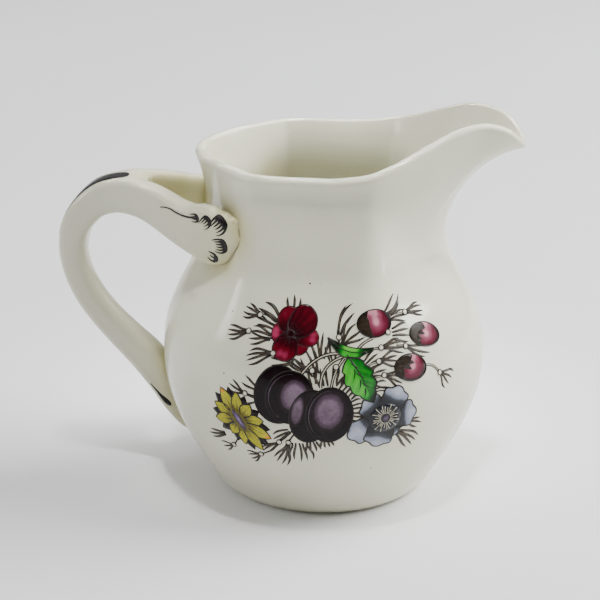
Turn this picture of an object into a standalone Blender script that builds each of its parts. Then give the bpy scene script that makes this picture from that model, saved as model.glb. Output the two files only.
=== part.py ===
"""A small glazed cream jug: a cast body with a pulled spout, a forked handle luted on, and enamel decoration.

Lengths are millimetres until a mesh is made, where MM turns them into metres. The bowl's axis is vertical.
The spout points to +X, the handle to -X and the decorated side faces -Y. Z is 0 where the foot stands.
"""

import bpy
import bmesh
import math
import numpy as np
from mathutils import Vector

MM = 0.001
COLLECTION = "cream_jug"

# The bowl's axis lies this far along +X, so that the origin is below the middle of the whole jug.
AXIS_X = 10.0

# Body of the jug. The bowl's slope where it meets the neck is taken over SLOPE_STEP of height.
BOWL_START_Z = 1.2
NECK_Z = 70.0
SLOPE_STEP = 2.0
WALL = 3.1
LIP_WALL = 2.7
SPOUT_LIP_WALL = 2.0
LIP_BLEND = 12.0
LIP_HEIGHT_RATIO = 0.8
# Nearer to the spout's tip than this many degrees, the columns of the neck run straighter towards the tip.
TIP_TURN = 25.0
HEXAGON_SHARPNESS = 11.0
HEXAGON_START_Z = 40.0
FLOOR_START_Z = 6.0
# Height and radius of the bowl's outside, foot to neck.
PROFILE = [
    (0.0, 26.3), (1.2, 28.0), (5.0, 30.6), (12.0, 34.8), (20.0, 38.8), (30.0, 41.9),
    (38.0, 42.4), (46.0, 41.5), (53.0, 38.9), (60.0, 35.5), (66.0, 32.9), (72.0, 31.6),
]
# Angle from the spout, then x, y, z of the lip's outer edge and the wall's outward lean there in degrees.
LIP = [
    (0, 51.0, 0.0, 94.6, 78), (7, 49.9, 3.3, 96.4, 66), (14, 47.2, 6.6, 99.4, 42),
    (22, 42.2, 9.3, 101.3, 24), (32, 36.0, 13.6, 100.6, 18), (42, 28.8, 18.6, 97.3, 20),
    (52, 21.6, 23.8, 93.8, 23), (60, 16.0, 27.0, 91.9, 26), (68, 10.0, 27.7, 90.8, 27),
    (90, -1.0, 27.5, 90.1, 27), (112, -11.2, 27.3, 90.0, 26), (120, -15.4, 26.3, 90.0, 25),
    (128, -18.9, 23.6, 90.0, 24), (150, -28.0, 14.2, 90.0, 22), (160, -31.2, 9.8, 89.9, 21),
    (170, -33.2, 5.1, 89.8, 20), (180, -33.9, 0.0, 89.8, 20),
]
# Radius and height of the rings under the foot and on the floor inside.
UNDERSIDE = [(8.0, 1.6), (20.0, 1.6), (22.4, 0.0), (25.4, 0.0)]
FLOOR = [(26.0, 5.3), (20.0, 4.4), (10.0, 4.1)]
UNDERSIDE_CENTRE_Z = 1.6
FLOOR_CENTRE_Z = 4.0
COLUMNS = 60
BOWL_ROWS = 13
NECK_ROWS = 10
LIP_STEPS = 3

# Layers on the body: each keeps a clearance to the one below it.
CLEARANCE = 0.3
LAYER = 0.5
# The outlines of the layers are extruded along Y by this much each way from this place.
PRISM_HALF_DEPTH = 20.0
PRISM_Y = -32.0
# The solid that stands for the body's outside when the layers are cut ends in a point below the foot.
ENVELOPE_BOTTOM_Z = -2.0

# Handle: x, y, z of the middle line, then half the width and half the thickness.
STRAP = [
    (-47.0, 0.0, 76.6, 4.6, 4.4), (-53.5, 0.0, 76.9, 5.3, 4.8), (-59.0, 0.0, 75.5, 5.3, 4.6),
    (-63.6, 0.0, 71.6, 5.1, 4.2), (-66.8, 0.0, 66.0, 4.9, 3.9), (-67.7, 0.0, 60.0, 4.7, 3.8),
    (-66.4, 0.0, 53.5, 4.6, 3.8), (-63.2, 0.0, 47.0, 4.6, 3.9), (-58.6, 0.0, 41.0, 4.6, 4.0),
    (-53.1, 0.0, 35.4, 4.7, 4.3), (-47.6, 0.0, 30.0, 4.8, 4.7), (-43.2, 0.0, 23.8, 4.6, 4.4),
    (-39.4, 0.0, 17.6, 3.9, 4.0), (-36.2, 0.0, 12.6, 2.5, 3.0), (-33.4, 0.0, 8.8, 0.8, 1.0),
]
# The same for the branch on the -Y side, which spreads into a leaf-shaped end on the neck: here the last two
# values are half its thickness and half its height.
BRANCH = [
    (-61.0, -2.2, 74.0, 2.6, 3.8), (-54.5, -2.9, 76.7, 3.0, 4.6), (-47.5, -4.9, 76.6, 3.1, 4.9),
    (-41.5, -7.8, 75.0, 3.1, 5.3), (-37.2, -10.2, 73.4, 3.1, 5.7), (-33.0, -12.9, 72.4, 3.0, 6.4),
    (-29.2, -15.8, 72.4, 2.9, 7.4), (-26.4, -18.1, 72.6, 2.7, 7.7), (-23.9, -20.1, 73.3, 2.4, 7.3),
    (-21.7, -21.8, 74.6, 2.1, 5.9), (-20.0, -23.1, 75.6, 1.8, 4.5), (-18.8, -24.1, 76.6, 1.3, 2.9),
]
# The branches from this station on, and the strap from the next one, meet the body.
BRANCH_END = 6
STRAP_TAIL = 9
SIDES = 16
# A tube whose direction has more than this share along Y keeps its width level, square to its path.
SIDEWAYS_LIMIT = 0.05
STRAP_SQUARENESS = 2.4
BRANCH_SQUARENESS = 3.4

# Painted strokes on the handle: the strap's stretch that each follows, and its half width there.
SPINE_STROKE = [
    (-52.6, -2.0, 76.9, 0.8, 4.8), (-59.0, -2.0, 75.5, 0.7, 4.6),
    (-63.6, -2.0, 71.6, 0.5, 4.2), (-66.0, -2.0, 67.6, 0.25, 4.0),
]
TAIL_STROKE = [(-45.6, -2.0, 27.4, 0.25, 4.6), (-43.2, -2.0, 23.8, 0.5, 4.4), (-40.4, -2.0, 19.2, 0.8, 4.1)]
STROKE_HALF_THICKNESS = 0.2
STROKE_LIFT = 0.6

# Colours, as linear RGB, with roughness.
GLAZE = ((0.69, 0.68, 0.62), 0.12)
SLIP = ((0.66, 0.64, 0.56), 0.2)
CRIMSON = ((0.16, 0.005, 0.015), 0.2)
PLUM = ((0.03, 0.018, 0.026), 0.2)
YELLOW = ((0.42, 0.38, 0.03), 0.2)
BLUE_GREY = ((0.28, 0.32, 0.4), 0.2)
GREEN = ((0.05, 0.3, 0.05), 0.2)
BUD_RED = ((0.3, 0.03, 0.06), 0.2)
BROWN_BLACK = ((0.03, 0.025, 0.02), 0.2)


def clear_scene():
    for obj in list(bpy.data.objects):
        bpy.data.objects.remove(obj, do_unlink=True)


def new_collection(name):
    collection = bpy.data.collections.new(name)
    bpy.context.scene.collection.children.link(collection)
    return collection


def enamel(name, finish):
    colour, roughness = finish
    material = bpy.data.materials.new(name)
    material.use_nodes = True
    shader = material.node_tree.nodes["Principled BSDF"]
    shader.inputs["Base Color"].default_value = (*colour, 1.0)
    shader.inputs["Roughness"].default_value = roughness
    shader.inputs["Metallic"].default_value = 0.0
    return material


# ---------------------------------------------------------------- curves and surfaces

def spline(x, knots, values):
    """Smooth curve through the values at the knots, read at each x."""
    knots = np.asarray(knots, float)
    values = np.asarray(values, float)
    step = np.diff(knots)[:, None]
    slope = np.diff(values, axis=0) / step
    weight = step[1:] / (step[:-1] + step[1:])
    tangent = np.vstack([slope[:1], weight * slope[:-1] + (1 - weight) * slope[1:], slope[-1:]])
    i = np.clip(np.searchsorted(knots, x) - 1, 0, len(knots) - 2)
    t = ((x - knots[i]) / step[i, 0])[:, None]
    start = (2 * t**3 - 3 * t**2 + 1) * values[i] + (t**3 - 2 * t**2 + t) * step[i] * tangent[i]
    end = (3 * t**2 - 2 * t**3) * values[i + 1] + (t**3 - t**2) * step[i] * tangent[i + 1]
    return start + end


def ease(t):
    t = np.clip(t, 0, 1)
    return t * t * (3 - 2 * t)


def lip_at(angle):
    """x, y, z and lean of the lip's outer edge at the angles, each from -180 to 180 degrees."""
    half = np.array(LIP, float)
    mirrored = half[::-1][:-1] * [-1, 1, -1, 1, 1]
    whole = np.vstack([mirrored, half])
    turn = np.array([360, 0, 0, 0, 0])
    whole = np.vstack([whole[-3:-1] - turn, whole, whole[1:3] + turn])
    return spline(angle, whole[:, 0], whole[:, 1:])


def hexagon(angle):
    """Radius of a softened hexagon whose corners, at multiples of 60 degrees, lie at 1."""
    total = np.zeros_like(angle)
    for side in range(6):
        across = np.cos(np.radians(angle - 30 - 60 * side))
        total += np.maximum(across, 0) ** HEXAGON_SHARPNESS
    corner = 2 * math.cos(math.radians(30)) ** HEXAGON_SHARPNESS
    return (total / corner) ** (-1 / HEXAGON_SHARPNESS)


def bowl_ring(z, angle):
    """The outside of the bowl at one height: round low down, a soft hexagon at the neck."""
    profile = np.array(PROFILE)
    radius = spline(np.array([z]), profile[:, 0], profile[:, 1:])[0, 0]
    facets = ease((z - HEXAGON_START_Z) / (NECK_Z - HEXAGON_START_Z))
    radius = radius * (1 - facets * (1 - hexagon(angle)))
    turn = np.radians(angle)
    return np.stack([radius * np.cos(turn), radius * np.sin(turn), np.full_like(turn, z)], -1)


def neck_ring(t, angle):
    """The outside from the neck line, t = 0, to the lip's outer edge, t = 1, as one Bezier per column."""
    low = bowl_ring(NECK_Z, angle)
    below = bowl_ring(NECK_Z - SLOPE_STEP, angle)
    lip = lip_at(angle)
    top = lip[:, :3]
    lean = np.radians(lip[:, 3:])
    along = lip_at(angle + 0.5)[:, :2] - lip_at(angle - 0.5)[:, :2]
    aside = ease(np.abs(angle) / TIP_TURN)
    outward = np.stack([along[:, 1], -along[:, 0] * aside], -1)
    outward = outward / np.linalg.norm(outward, axis=1, keepdims=True)
    climb = (low - below) / (low - below)[:, 2:]
    rise = top[:, 2:] - NECK_Z
    spread = np.linalg.norm(top[:, :2] - low[:, :2], axis=1, keepdims=True)
    reach = 0.30 * rise + 0.24 * spread
    first = low + climb * rise * (0.42 - 0.004 * spread)
    second = top - reach * np.hstack([np.sin(lean) * outward, np.cos(lean)])
    return (1 - t)**3 * low + 3 * t * (1 - t)**2 * first + 3 * t**2 * (1 - t) * second + t**3 * top


def outer_rows():
    angle = np.arange(COLUMNS) * 360.0 / COLUMNS - 180
    low = BOWL_START_Z + (NECK_Z - BOWL_START_Z) * np.linspace(0, 1, BOWL_ROWS)[:-1]
    rows = [bowl_ring(0.0, angle)]
    rows += [bowl_ring(z, angle) for z in low]
    rows += [neck_ring(t, angle) for t in np.linspace(0, 1, NECK_ROWS)]
    return angle, np.array(rows)


def normals(rows):
    around = np.roll(rows, -1, 1) - np.roll(rows, 1, 1)
    up = np.gradient(rows, axis=0)
    normal = np.cross(around, up)
    return normal / np.linalg.norm(normal, axis=-1, keepdims=True)


def lip_and_inside(angle, rows):
    """The rounded lip, then the inside wall down to the floor."""
    normal = normals(rows)
    away = np.abs(angle)[:, None]
    lip_wall = LIP_WALL - (LIP_WALL - SPOUT_LIP_WALL) * np.exp(-(away / 18.0) ** 2)
    upward = rows[-1] - rows[-2]
    upward = upward / np.linalg.norm(upward, axis=-1, keepdims=True)
    middle = rows[-1] - normal[-1] * lip_wall / 2
    made = []
    for turn in np.linspace(0, math.pi, LIP_STEPS + 1)[1:]:
        offset = math.cos(turn) * normal[-1] + LIP_HEIGHT_RATIO * math.sin(turn) * upward
        made.append(middle + offset * lip_wall / 2)
    depth = np.zeros((len(angle), 1))
    for i in range(len(rows) - 2, -1, -1):
        if rows[i, 0, 2] < FLOOR_START_Z:
            break
        depth = depth + np.linalg.norm(rows[i + 1] - rows[i], axis=-1, keepdims=True)
        wall = lip_wall + (WALL - lip_wall) * ease(depth / LIP_BLEND)
        made.append(rows[i] - normal[i] * wall)
    return made


def round_ring(radius, z, angle):
    turn = np.radians(angle)
    return np.stack([radius * np.cos(turn), radius * np.sin(turn), np.full_like(turn, z)], -1)


# ---------------------------------------------------------------- meshes

def loft(name, rings, first_centre, last_centre, collection):
    """A closed body through rings of equal length, whose ends close on a point."""
    mesh = bpy.data.meshes.new(name)
    bm = bmesh.new()
    loops = [[bm.verts.new(Vector(point) * MM) for point in ring] for ring in rings]
    count = len(loops[0])
    for low, high in zip(loops[:-1], loops[1:]):
        for j in range(count):
            k = (j + 1) % count
            bm.faces.new((low[j], low[k], high[k], high[j]))
    start = bm.verts.new(Vector(first_centre) * MM)
    end = bm.verts.new(Vector(last_centre) * MM)
    for j in range(count):
        k = (j + 1) % count
        bm.faces.new((loops[0][k], loops[0][j], start))
        bm.faces.new((loops[-1][j], loops[-1][k], end))
    bmesh.ops.recalc_face_normals(bm, faces=bm.faces)
    bm.to_mesh(mesh)
    bm.free()
    mesh.shade_smooth()
    obj = bpy.data.objects.new(name, mesh)
    collection.objects.link(obj)
    return obj


def sweep(name, stations, collection, squareness=STRAP_SQUARENESS, lift=0.0, half_thickness=None):
    """A tube through stations of x, y, z, half width and half thickness.

    lift moves the tube outward from the handle's loop by that much more than the stated half thickness.
    """
    stations = np.array(stations, float)
    points = stations[:, :3]
    tangent = np.gradient(points, axis=0)
    tangent = tangent / np.linalg.norm(tangent, axis=1, keepdims=True)
    rings = []
    for point, ahead, size in zip(points, tangent, stations[:, 3:]):
        leaves_plane = abs(ahead[1]) > SIDEWAYS_LIMIT
        across = np.cross(ahead, (0.0, 0.0, 1.0)) if leaves_plane else np.array([0.0, 1.0, 0.0])
        across = across / np.linalg.norm(across)
        outward = np.cross(across, ahead)
        if outward[0] * -1 + outward[2] < 0:
            outward = -outward
            across = -across
        thickness = size[1] if half_thickness is None else half_thickness
        middle = point + outward * (size[1] + lift if lift else 0.0)
        ring = []
        for step in range(SIDES):
            turn = 2 * math.pi * step / SIDES
            c, s = math.cos(turn), math.sin(turn)
            wide = math.copysign(abs(c) ** (2 / squareness), c) * size[0]
            thick = math.copysign(abs(s) ** (2 / squareness), s) * thickness
            ring.append(middle + across * wide + outward * thick)
        rings.append(ring)
    first = np.mean(rings[0], axis=0)
    last = np.mean(rings[-1], axis=0)
    return loft(name, rings, first, last, collection)


def prism(name, outline, collection):
    """An outline in x and z, filled and extruded along Y right through the decorated side."""
    curve = bpy.data.curves.new(name, "CURVE")
    curve.dimensions = "2D"
    curve.fill_mode = "BOTH"
    curve.extrude = PRISM_HALF_DEPTH * MM
    line = curve.splines.new("POLY")
    line.points.add(len(outline) - 1)
    for point, (x, z) in zip(line.points, outline):
        point.co = (x * MM, z * MM, 0.0, 1.0)
    line.use_cyclic_u = True
    guide = bpy.data.objects.new(name + "_outline", curve)
    collection.objects.link(guide)
    guide.rotation_euler = (math.radians(90), 0, 0)
    guide.location = (0, PRISM_Y * MM, 0)
    bpy.context.view_layer.update()
    graph = bpy.context.evaluated_depsgraph_get()
    mesh = bpy.data.meshes.new_from_object(guide.evaluated_get(graph))
    mesh.transform(guide.matrix_world)
    bpy.data.objects.remove(guide, do_unlink=True)
    bm = bmesh.new()
    bm.from_mesh(mesh)
    bmesh.ops.remove_doubles(bm, verts=bm.verts, dist=1e-6)
    bmesh.ops.recalc_face_normals(bm, faces=bm.faces)
    bm.to_mesh(mesh)
    bm.free()
    obj = bpy.data.objects.new(name, mesh)
    collection.objects.link(obj)
    return obj


def combine(obj, other, operation):
    modifier = obj.modifiers.new(operation.lower(), "BOOLEAN")
    modifier.operation = operation
    modifier.solver = "EXACT"
    modifier.object = other
    return modifier


def dress(obj, material, empty):
    obj.data.materials.clear()
    obj.data.materials.append(material)
    obj.parent = empty


# ---------------------------------------------------------------- outlines of the enamel motifs

def ellipse(x, z, half_x, half_z, tilt=0.0, points=24):
    turn = np.linspace(0, 2 * math.pi, points, endpoint=False)
    tilt = math.radians(tilt)
    across = half_x * np.cos(turn)
    along = half_z * np.sin(turn)
    return list(zip(x + across * math.cos(tilt) - along * math.sin(tilt),
                    z + across * math.sin(tilt) + along * math.cos(tilt)))


def flower(x, z, radius, petals, depth, squeeze=1.0, turn=0.0):
    """Rounded petals for a small depth, pointed ones for a large depth."""
    found = []
    for step in range(petals * 6):
        angle = 2 * math.pi * step / (petals * 6)
        wave = abs(math.cos(petals * angle / 2))
        r = radius * (1 - depth + depth * wave)
        angle += math.radians(turn)
        found.append((x + squeeze * r * math.cos(angle), z + r * math.sin(angle)))
    return found


def leaf(x, z, length, width, tilt):
    """A pointed leaf whose middle is at x, z."""
    found = []
    for side in (1, -1):
        for step in range(8):
            t = step / 8
            along = (t - 0.5) * length * side
            across = width / 2 * math.sin(math.pi * t) * side
            found.append((along, across))
    tilt = math.radians(tilt)
    return [(x + a * math.cos(tilt) - b * math.sin(tilt), z + a * math.sin(tilt) + b * math.cos(tilt))
            for a, b in found]


# ---------------------------------------------------------------- the jug

def make_body(collection):
    angle, rows = outer_rows()
    rings = [round_ring(radius, z, angle) for radius, z in UNDERSIDE]
    rings += list(rows)
    rings += lip_and_inside(angle, rows)
    rings += [round_ring(radius, z, angle) for radius, z in FLOOR]
    return loft("body", rings, (0, 0, UNDERSIDE_CENTRE_Z), (0, 0, FLOOR_CENTRE_Z), collection)


def make_envelope(name, offset, cutters):
    """The body's outside, grown by the offset, as one solid with no hollow."""
    _, rows = outer_rows()
    rows = rows + normals(rows) * offset
    bottom = np.array([0.0, 0.0, ENVELOPE_BOTTOM_Z])
    top = rows[-1].mean(axis=0)
    obj = loft(name, list(rows), bottom, top, cutters)
    obj.hide_render = True
    obj.display_type = "WIRE"
    return obj


def mirrored(stations):
    return [(x, -y, z, a, b) for x, y, z, a, b in stations]


def make_handle(collection, cutters, envelope):
    """The strap and its two branches as one solid, cut back from the body."""
    strap = sweep("handle", STRAP, collection)
    for side, stations in (("front", BRANCH), ("back", mirrored(BRANCH))):
        branch = sweep(f"handle_{side}_branch", stations, cutters, BRANCH_SQUARENESS)
        branch.hide_render = True
        branch.display_type = "WIRE"
        combine(strap, branch, "UNION")
    combine(strap, envelope, "DIFFERENCE")
    return strap


def make_seam(name, stations, squareness, collection, top, under):
    """The thin layer of slip between one end of the handle and the body."""
    seam = sweep(name, stations, collection, squareness)
    combine(seam, top, "INTERSECT")
    combine(seam, under, "DIFFERENCE")
    return seam


def make_patch(name, outlines, collection, cutters, top, under):
    """An enamel motif: its outlines joined, and kept only between two envelopes of the body."""
    obj = prism(name, outlines[0], collection)
    for i, outline in enumerate(outlines[1:]):
        other = prism(f"{name}_part_{i}", outline, cutters)
        other.hide_render = True
        other.display_type = "WIRE"
        combine(obj, other, "UNION")
    combine(obj, top, "INTERSECT")
    combine(obj, under, "DIFFERENCE")
    return obj


MOTIFS = [
    ("red_flower", CRIMSON, [flower(-1.8, 55.0, 6.0, 6, 0.14)]),
    ("plums", PLUM, [ellipse(-5.4, 39.4, 6.2, 7.6), ellipse(-2.4, 39.2, 6.5, 7.0),
                     ellipse(2.6, 34.2, 4.8, 7.4), ellipse(7.8, 34.8, 5.9, 7.6)]),
    ("yellow_flower", YELLOW, [flower(-16.4, 30.4, 6.6, 10, 0.36)]),
    ("blue_flower", BLUE_GREY, [flower(20.4, 33.2, 7.0, 6, 0.16, squeeze=0.94)]),
    ("large_leaf", GREEN, [leaf(14.2, 44.2, 11.0, 5.0, -66)]),
    ("small_leaf", GREEN, [leaf(11.8, 51.6, 9.0, 3.0, -14)]),
    ("left_bud", BUD_RED, [ellipse(18.0, 56.8, 3.2, 2.5)]),
    ("right_bud", BUD_RED, [ellipse(29.6, 52.1, 2.8, 2.3)]),
    ("lower_bud", BUD_RED, [ellipse(26.9, 45.4, 3.0, 2.5)]),
]


def main():
    clear_scene()
    collection = new_collection(COLLECTION)
    cutters = new_collection("cutters")
    glaze = enamel("glaze", GLAZE)
    slip = enamel("slip", SLIP)
    stroke_paint = enamel("brown_black", BROWN_BLACK)

    empty = bpy.data.objects.new("bowl_axis", None)
    collection.objects.link(empty)
    empty.location = (AXIS_X * MM, 0, 0)

    under = make_envelope("envelope_under", CLEARANCE, cutters)
    top = make_envelope("envelope_top", CLEARANCE + LAYER, cutters)
    handle_cut = make_envelope("envelope_handle", 2 * CLEARANCE + LAYER, cutters)

    dress(make_body(collection), glaze, empty)
    dress(make_handle(collection, cutters, handle_cut), glaze, empty)

    ends = [
        ("front_slip_seam", BRANCH[BRANCH_END:], BRANCH_SQUARENESS),
        ("back_slip_seam", mirrored(BRANCH[BRANCH_END:]), BRANCH_SQUARENESS),
        ("tail_slip_seam", STRAP[STRAP_TAIL:], STRAP_SQUARENESS),
    ]
    for name, stations, squareness in ends:
        dress(make_seam(name, stations, squareness, collection, top, under), slip, empty)

    for name, finish, outlines in MOTIFS:
        patch = make_patch(name, outlines, collection, cutters, top, under)
        dress(patch, enamel(name + "_enamel", finish), empty)

    for name, stations in (("spine_stroke", SPINE_STROKE), ("tail_stroke", TAIL_STROKE)):
        stroke = sweep(name, stations, collection, lift=STROKE_LIFT, half_thickness=STROKE_HALF_THICKNESS)
        dress(stroke, stroke_paint, empty)

    for obj in cutters.objects:
        obj.parent = empty
    bpy.context.view_layer.update()


main()
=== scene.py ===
"""The looks of the cream jug: glazed pottery, brushed strokes and a printed, enamelled spray of flowers.

Until a mesh is made, lengths are millimetres from the bowl's own axis: the spout points to +X, the
handle to -X and the decorated side faces -Y. The shape repeats the formulas and driving sizes of the
CAD model, more finely.
"""

import math
from collections import defaultdict

import bmesh
import bpy
import numpy as np
from mathutils import Matrix, Vector
from mathutils.bvhtree import BVHTree
from mathutils.kdtree import KDTree


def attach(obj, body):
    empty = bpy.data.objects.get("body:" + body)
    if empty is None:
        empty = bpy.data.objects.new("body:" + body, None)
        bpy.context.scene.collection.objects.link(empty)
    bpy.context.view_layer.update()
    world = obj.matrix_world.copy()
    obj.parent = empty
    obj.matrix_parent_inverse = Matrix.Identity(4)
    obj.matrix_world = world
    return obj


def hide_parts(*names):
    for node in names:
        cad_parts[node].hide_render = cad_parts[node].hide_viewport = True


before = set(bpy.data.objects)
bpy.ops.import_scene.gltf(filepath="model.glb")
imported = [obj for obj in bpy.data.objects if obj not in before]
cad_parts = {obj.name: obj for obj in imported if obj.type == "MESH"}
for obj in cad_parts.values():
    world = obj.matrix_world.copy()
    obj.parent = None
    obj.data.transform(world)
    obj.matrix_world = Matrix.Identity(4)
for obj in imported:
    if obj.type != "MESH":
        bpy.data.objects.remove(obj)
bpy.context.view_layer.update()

MM = 0.001
# The bowl's axis lies this far along +X from the frame's origin.
AXIS_X = 10.0

# ---------------------------------------------------------------- driving sizes, as in the CAD model

NECK_Z = 70.0
WALL = 3.1
LIP_WALL = 2.7
SPOUT_LIP_WALL = 2.0
LIP_BLEND = 12.0
LIP_HEIGHT_RATIO = 0.8
# Nearer to the spout's tip than this many degrees, the columns of the neck run straighter towards the tip.
TIP_TURN = 25.0
# How strongly the neck's curve keeps its direction at each end: a share of the rise, and of the spread.
LIP_PULL = 0.30
LIP_PULL_SPREAD = 0.24
NECK_PULL = 0.42
NECK_PULL_LOSS = 0.004
HEXAGON_SHARPNESS = 11.0
HEXAGON_START_Z = 40.0
# The inside wall ends and the floor begins at this height of the outside.
FLOOR_START_Z = 6.0
# Height and radius of the bowl's outside, foot to neck.
PROFILE = [
    (0.0, 26.3), (1.2, 28.0), (5.0, 30.6), (12.0, 34.8), (20.0, 38.8), (30.0, 41.9),
    (38.0, 42.4), (46.0, 41.5), (53.0, 38.9), (60.0, 35.5), (66.0, 32.9), (72.0, 31.6),
]
# Angle from the spout, then x, y, z of the lip's outer edge and the wall's outward lean there in degrees.
LIP = [
    (0, 51.0, 0.0, 94.6, 78), (7, 49.9, 3.3, 96.4, 66), (14, 47.2, 6.6, 99.4, 42),
    (22, 42.2, 9.3, 101.3, 24), (32, 36.0, 13.6, 100.6, 18), (42, 28.8, 18.6, 97.3, 20),
    (52, 21.6, 23.8, 93.8, 23), (60, 16.0, 27.0, 91.9, 26), (68, 10.0, 27.7, 90.8, 27),
    (90, -1.0, 27.5, 90.1, 27), (112, -11.2, 27.3, 90.0, 26), (120, -15.4, 26.3, 90.0, 25),
    (128, -18.9, 23.6, 90.0, 24), (150, -28.0, 14.2, 90.0, 22), (160, -31.2, 9.8, 89.9, 21),
    (170, -33.2, 5.1, 89.8, 20), (180, -33.9, 0.0, 89.8, 20),
]
# Radius and height of the rings under the foot and on the floor inside.
UNDERSIDE = [
    (4.0, 1.6), (8.0, 1.6), (14.0, 1.6), (19.4, 1.6), (20.4, 1.45), (21.6, 0.4), (22.2, 0.06),
    (22.8, 0.0), (25.0, 0.0),
]
FLOOR = [(26.0, 5.3), (23.0, 4.75), (20.0, 4.4), (15.0, 4.2), (10.0, 4.1), (5.0, 4.02)]
UNDERSIDE_CENTRE_Z = 1.6
FLOOR_CENTRE_Z = 4.0
# How finely the body is divided: columns round it, then rows up the foot, bowl, neck and lip.
COLUMNS = 240
FOOT_HEIGHTS = [0.0, 0.12, 0.3, 0.55, 0.85]
BOWL_START_Z = 1.2
BOWL_ROWS = 72
NECK_ROWS = 46
LIP_STEPS = 12

# Handle: x, y, z of the middle line, then half the width and half the thickness.
STRAP = [
    (-47.0, 0.0, 76.6, 4.6, 4.4), (-53.5, 0.0, 76.9, 5.3, 4.8), (-59.0, 0.0, 75.5, 5.3, 4.6),
    (-63.6, 0.0, 71.6, 5.1, 4.2), (-66.8, 0.0, 66.0, 4.9, 3.9), (-67.7, 0.0, 60.0, 4.7, 3.8),
    (-66.4, 0.0, 53.5, 4.6, 3.8), (-63.2, 0.0, 47.0, 4.6, 3.9), (-58.6, 0.0, 41.0, 4.6, 4.0),
    (-53.1, 0.0, 35.4, 4.7, 4.3), (-47.6, 0.0, 30.0, 4.8, 4.7), (-43.2, 0.0, 23.8, 4.6, 4.4),
    (-39.4, 0.0, 17.6, 3.9, 4.0), (-36.2, 0.0, 12.6, 2.5, 3.0), (-33.4, 0.0, 8.8, 0.8, 1.0),
]
# The branch on the -Y side, which spreads into a fan that lies on the neck: x, y, z of its middle line,
# then half its thickness and half its height.
FAN = [
    (-61.0, -2.2, 74.0, 2.6, 3.8), (-54.5, -2.9, 76.7, 3.0, 4.6), (-47.5, -4.9, 76.6, 3.1, 4.9),
    (-41.5, -7.8, 75.0, 3.1, 5.3), (-37.2, -10.2, 73.4, 3.1, 5.7), (-33.0, -12.9, 72.4, 3.0, 6.4),
    (-29.2, -15.8, 72.4, 2.9, 7.4), (-26.4, -18.1, 72.6, 2.7, 7.7), (-23.9, -20.1, 73.3, 2.4, 7.3),
    (-21.7, -21.8, 74.6, 2.1, 5.9), (-20.0, -23.1, 75.6, 1.8, 4.5), (-18.8, -24.1, 76.6, 1.3, 2.9),
]
SECTION_SIDES = 40
SECTION_STEP = 0.7
# The limbs' sections are soft ovals low on the strap and squarer above, over this range of heights.
SOFT_SECTION = 2.4
SQUARE_SECTION = 4.2
SQUARE_START_Z = 58
SQUARE_RISE = 14
HANDLE_VOXEL = 0.36
HANDLE_SMOOTHING = 10
JOINT_DEPTH = 1.2
# The slip's bead: its radius and sides, the step between its points, how often its line is smoothed, and
# the fewest crossings that count as a line.
SEAM_RADIUS = 0.36
SEAM_SIDES = 10
SEAM_STEP = 0.9
SEAM_SMOOTHING = 80
SEAM_LEAST = 30

# Glaze pooling and painted shade: how far from a seam, and how strongly, on the body and on the handle.
BODY_POOL_AND_SHADE_REACH = 4.5
BODY_POOL_AND_SHADE = 0.55
HANDLE_POOL_AND_SHADE_REACH = 5.5
HANDLE_POOL_AND_SHADE = 0.5
# Painted shade: the olive glaze tint also goes on the neck between the branches and on their inner faces.
FORK_PAINTED_SHADE = 0.5
FORK_Z = 75
FORK_HALF_HEIGHT = 10
FORK_HALF_TURN = 26
NECK_OUTSIDE = 29
# The flat of the foot ring is bare: below this height and between these radii.
BARE_Z = 0.2
BARE_RADII = (21.5, 26.8)

# The spray is painted on a plane of arc length round the bowl at this radius, and height.
PAINT_RADIUS = 40.0
# Heights above the glaze: the brown print, the first enamel, each further layer, and lines over enamel.
PRINT_LIFT = 0.03
ENAMEL_LIFT = 0.05
LAYER_LIFT = 0.014
LINE_LIFT = 0.16
# Every slab of paint reaches this far down into the glaze.
PAINT_DEPTH = 0.12
THINNEST_LINE = 0.05


# ---------------------------------------------------------------- curves and surfaces

def spline(x, knots, values):
    """Smooth curve through the values at the knots, read at each x."""
    knots = np.asarray(knots, float)
    values = np.asarray(values, float)
    step = np.diff(knots)[:, None]
    slope = np.diff(values, axis=0) / step
    weight = step[1:] / (step[:-1] + step[1:])
    tangent = np.vstack([slope[:1], weight * slope[:-1] + (1 - weight) * slope[1:], slope[-1:]])
    i = np.clip(np.searchsorted(knots, x) - 1, 0, len(knots) - 2)
    t = ((x - knots[i]) / step[i, 0])[:, None]
    start = (2 * t**3 - 3 * t**2 + 1) * values[i] + (t**3 - 2 * t**2 + t) * step[i] * tangent[i]
    end = (3 * t**2 - 2 * t**3) * values[i + 1] + (t**3 - t**2) * step[i] * tangent[i + 1]
    return start + end


def ease(t):
    t = np.clip(t, 0, 1)
    return t * t * (3 - 2 * t)


def unit(vectors):
    return vectors / np.linalg.norm(vectors, axis=-1, keepdims=True)


def length_along(points):
    """Distance along a path from its first point to each of its points."""
    return np.concatenate([[0], np.cumsum(np.linalg.norm(np.diff(points, axis=0), axis=1))])


def lip_at(angle):
    """x, y, z and lean of the lip's outer edge at the angles, each from -180 to 180 degrees."""
    half = np.array(LIP, float)
    mirrored = half[::-1][:-1] * [-1, 1, -1, 1, 1]
    whole = np.vstack([mirrored, half])
    turn = np.array([360, 0, 0, 0, 0])
    whole = np.vstack([whole[-3:-1] - turn, whole, whole[1:3] + turn])
    return spline(angle, whole[:, 0], whole[:, 1:])


def hexagon(angle):
    """Radius of a softened hexagon whose corners, at multiples of 60 degrees, lie at 1."""
    total = np.zeros_like(angle)
    for side in range(6):
        across = np.cos(np.radians(angle - 30 - 60 * side))
        total += np.maximum(across, 0) ** HEXAGON_SHARPNESS
    corner = 2 * math.cos(math.radians(30)) ** HEXAGON_SHARPNESS
    return (total / corner) ** (-1 / HEXAGON_SHARPNESS)


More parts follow.
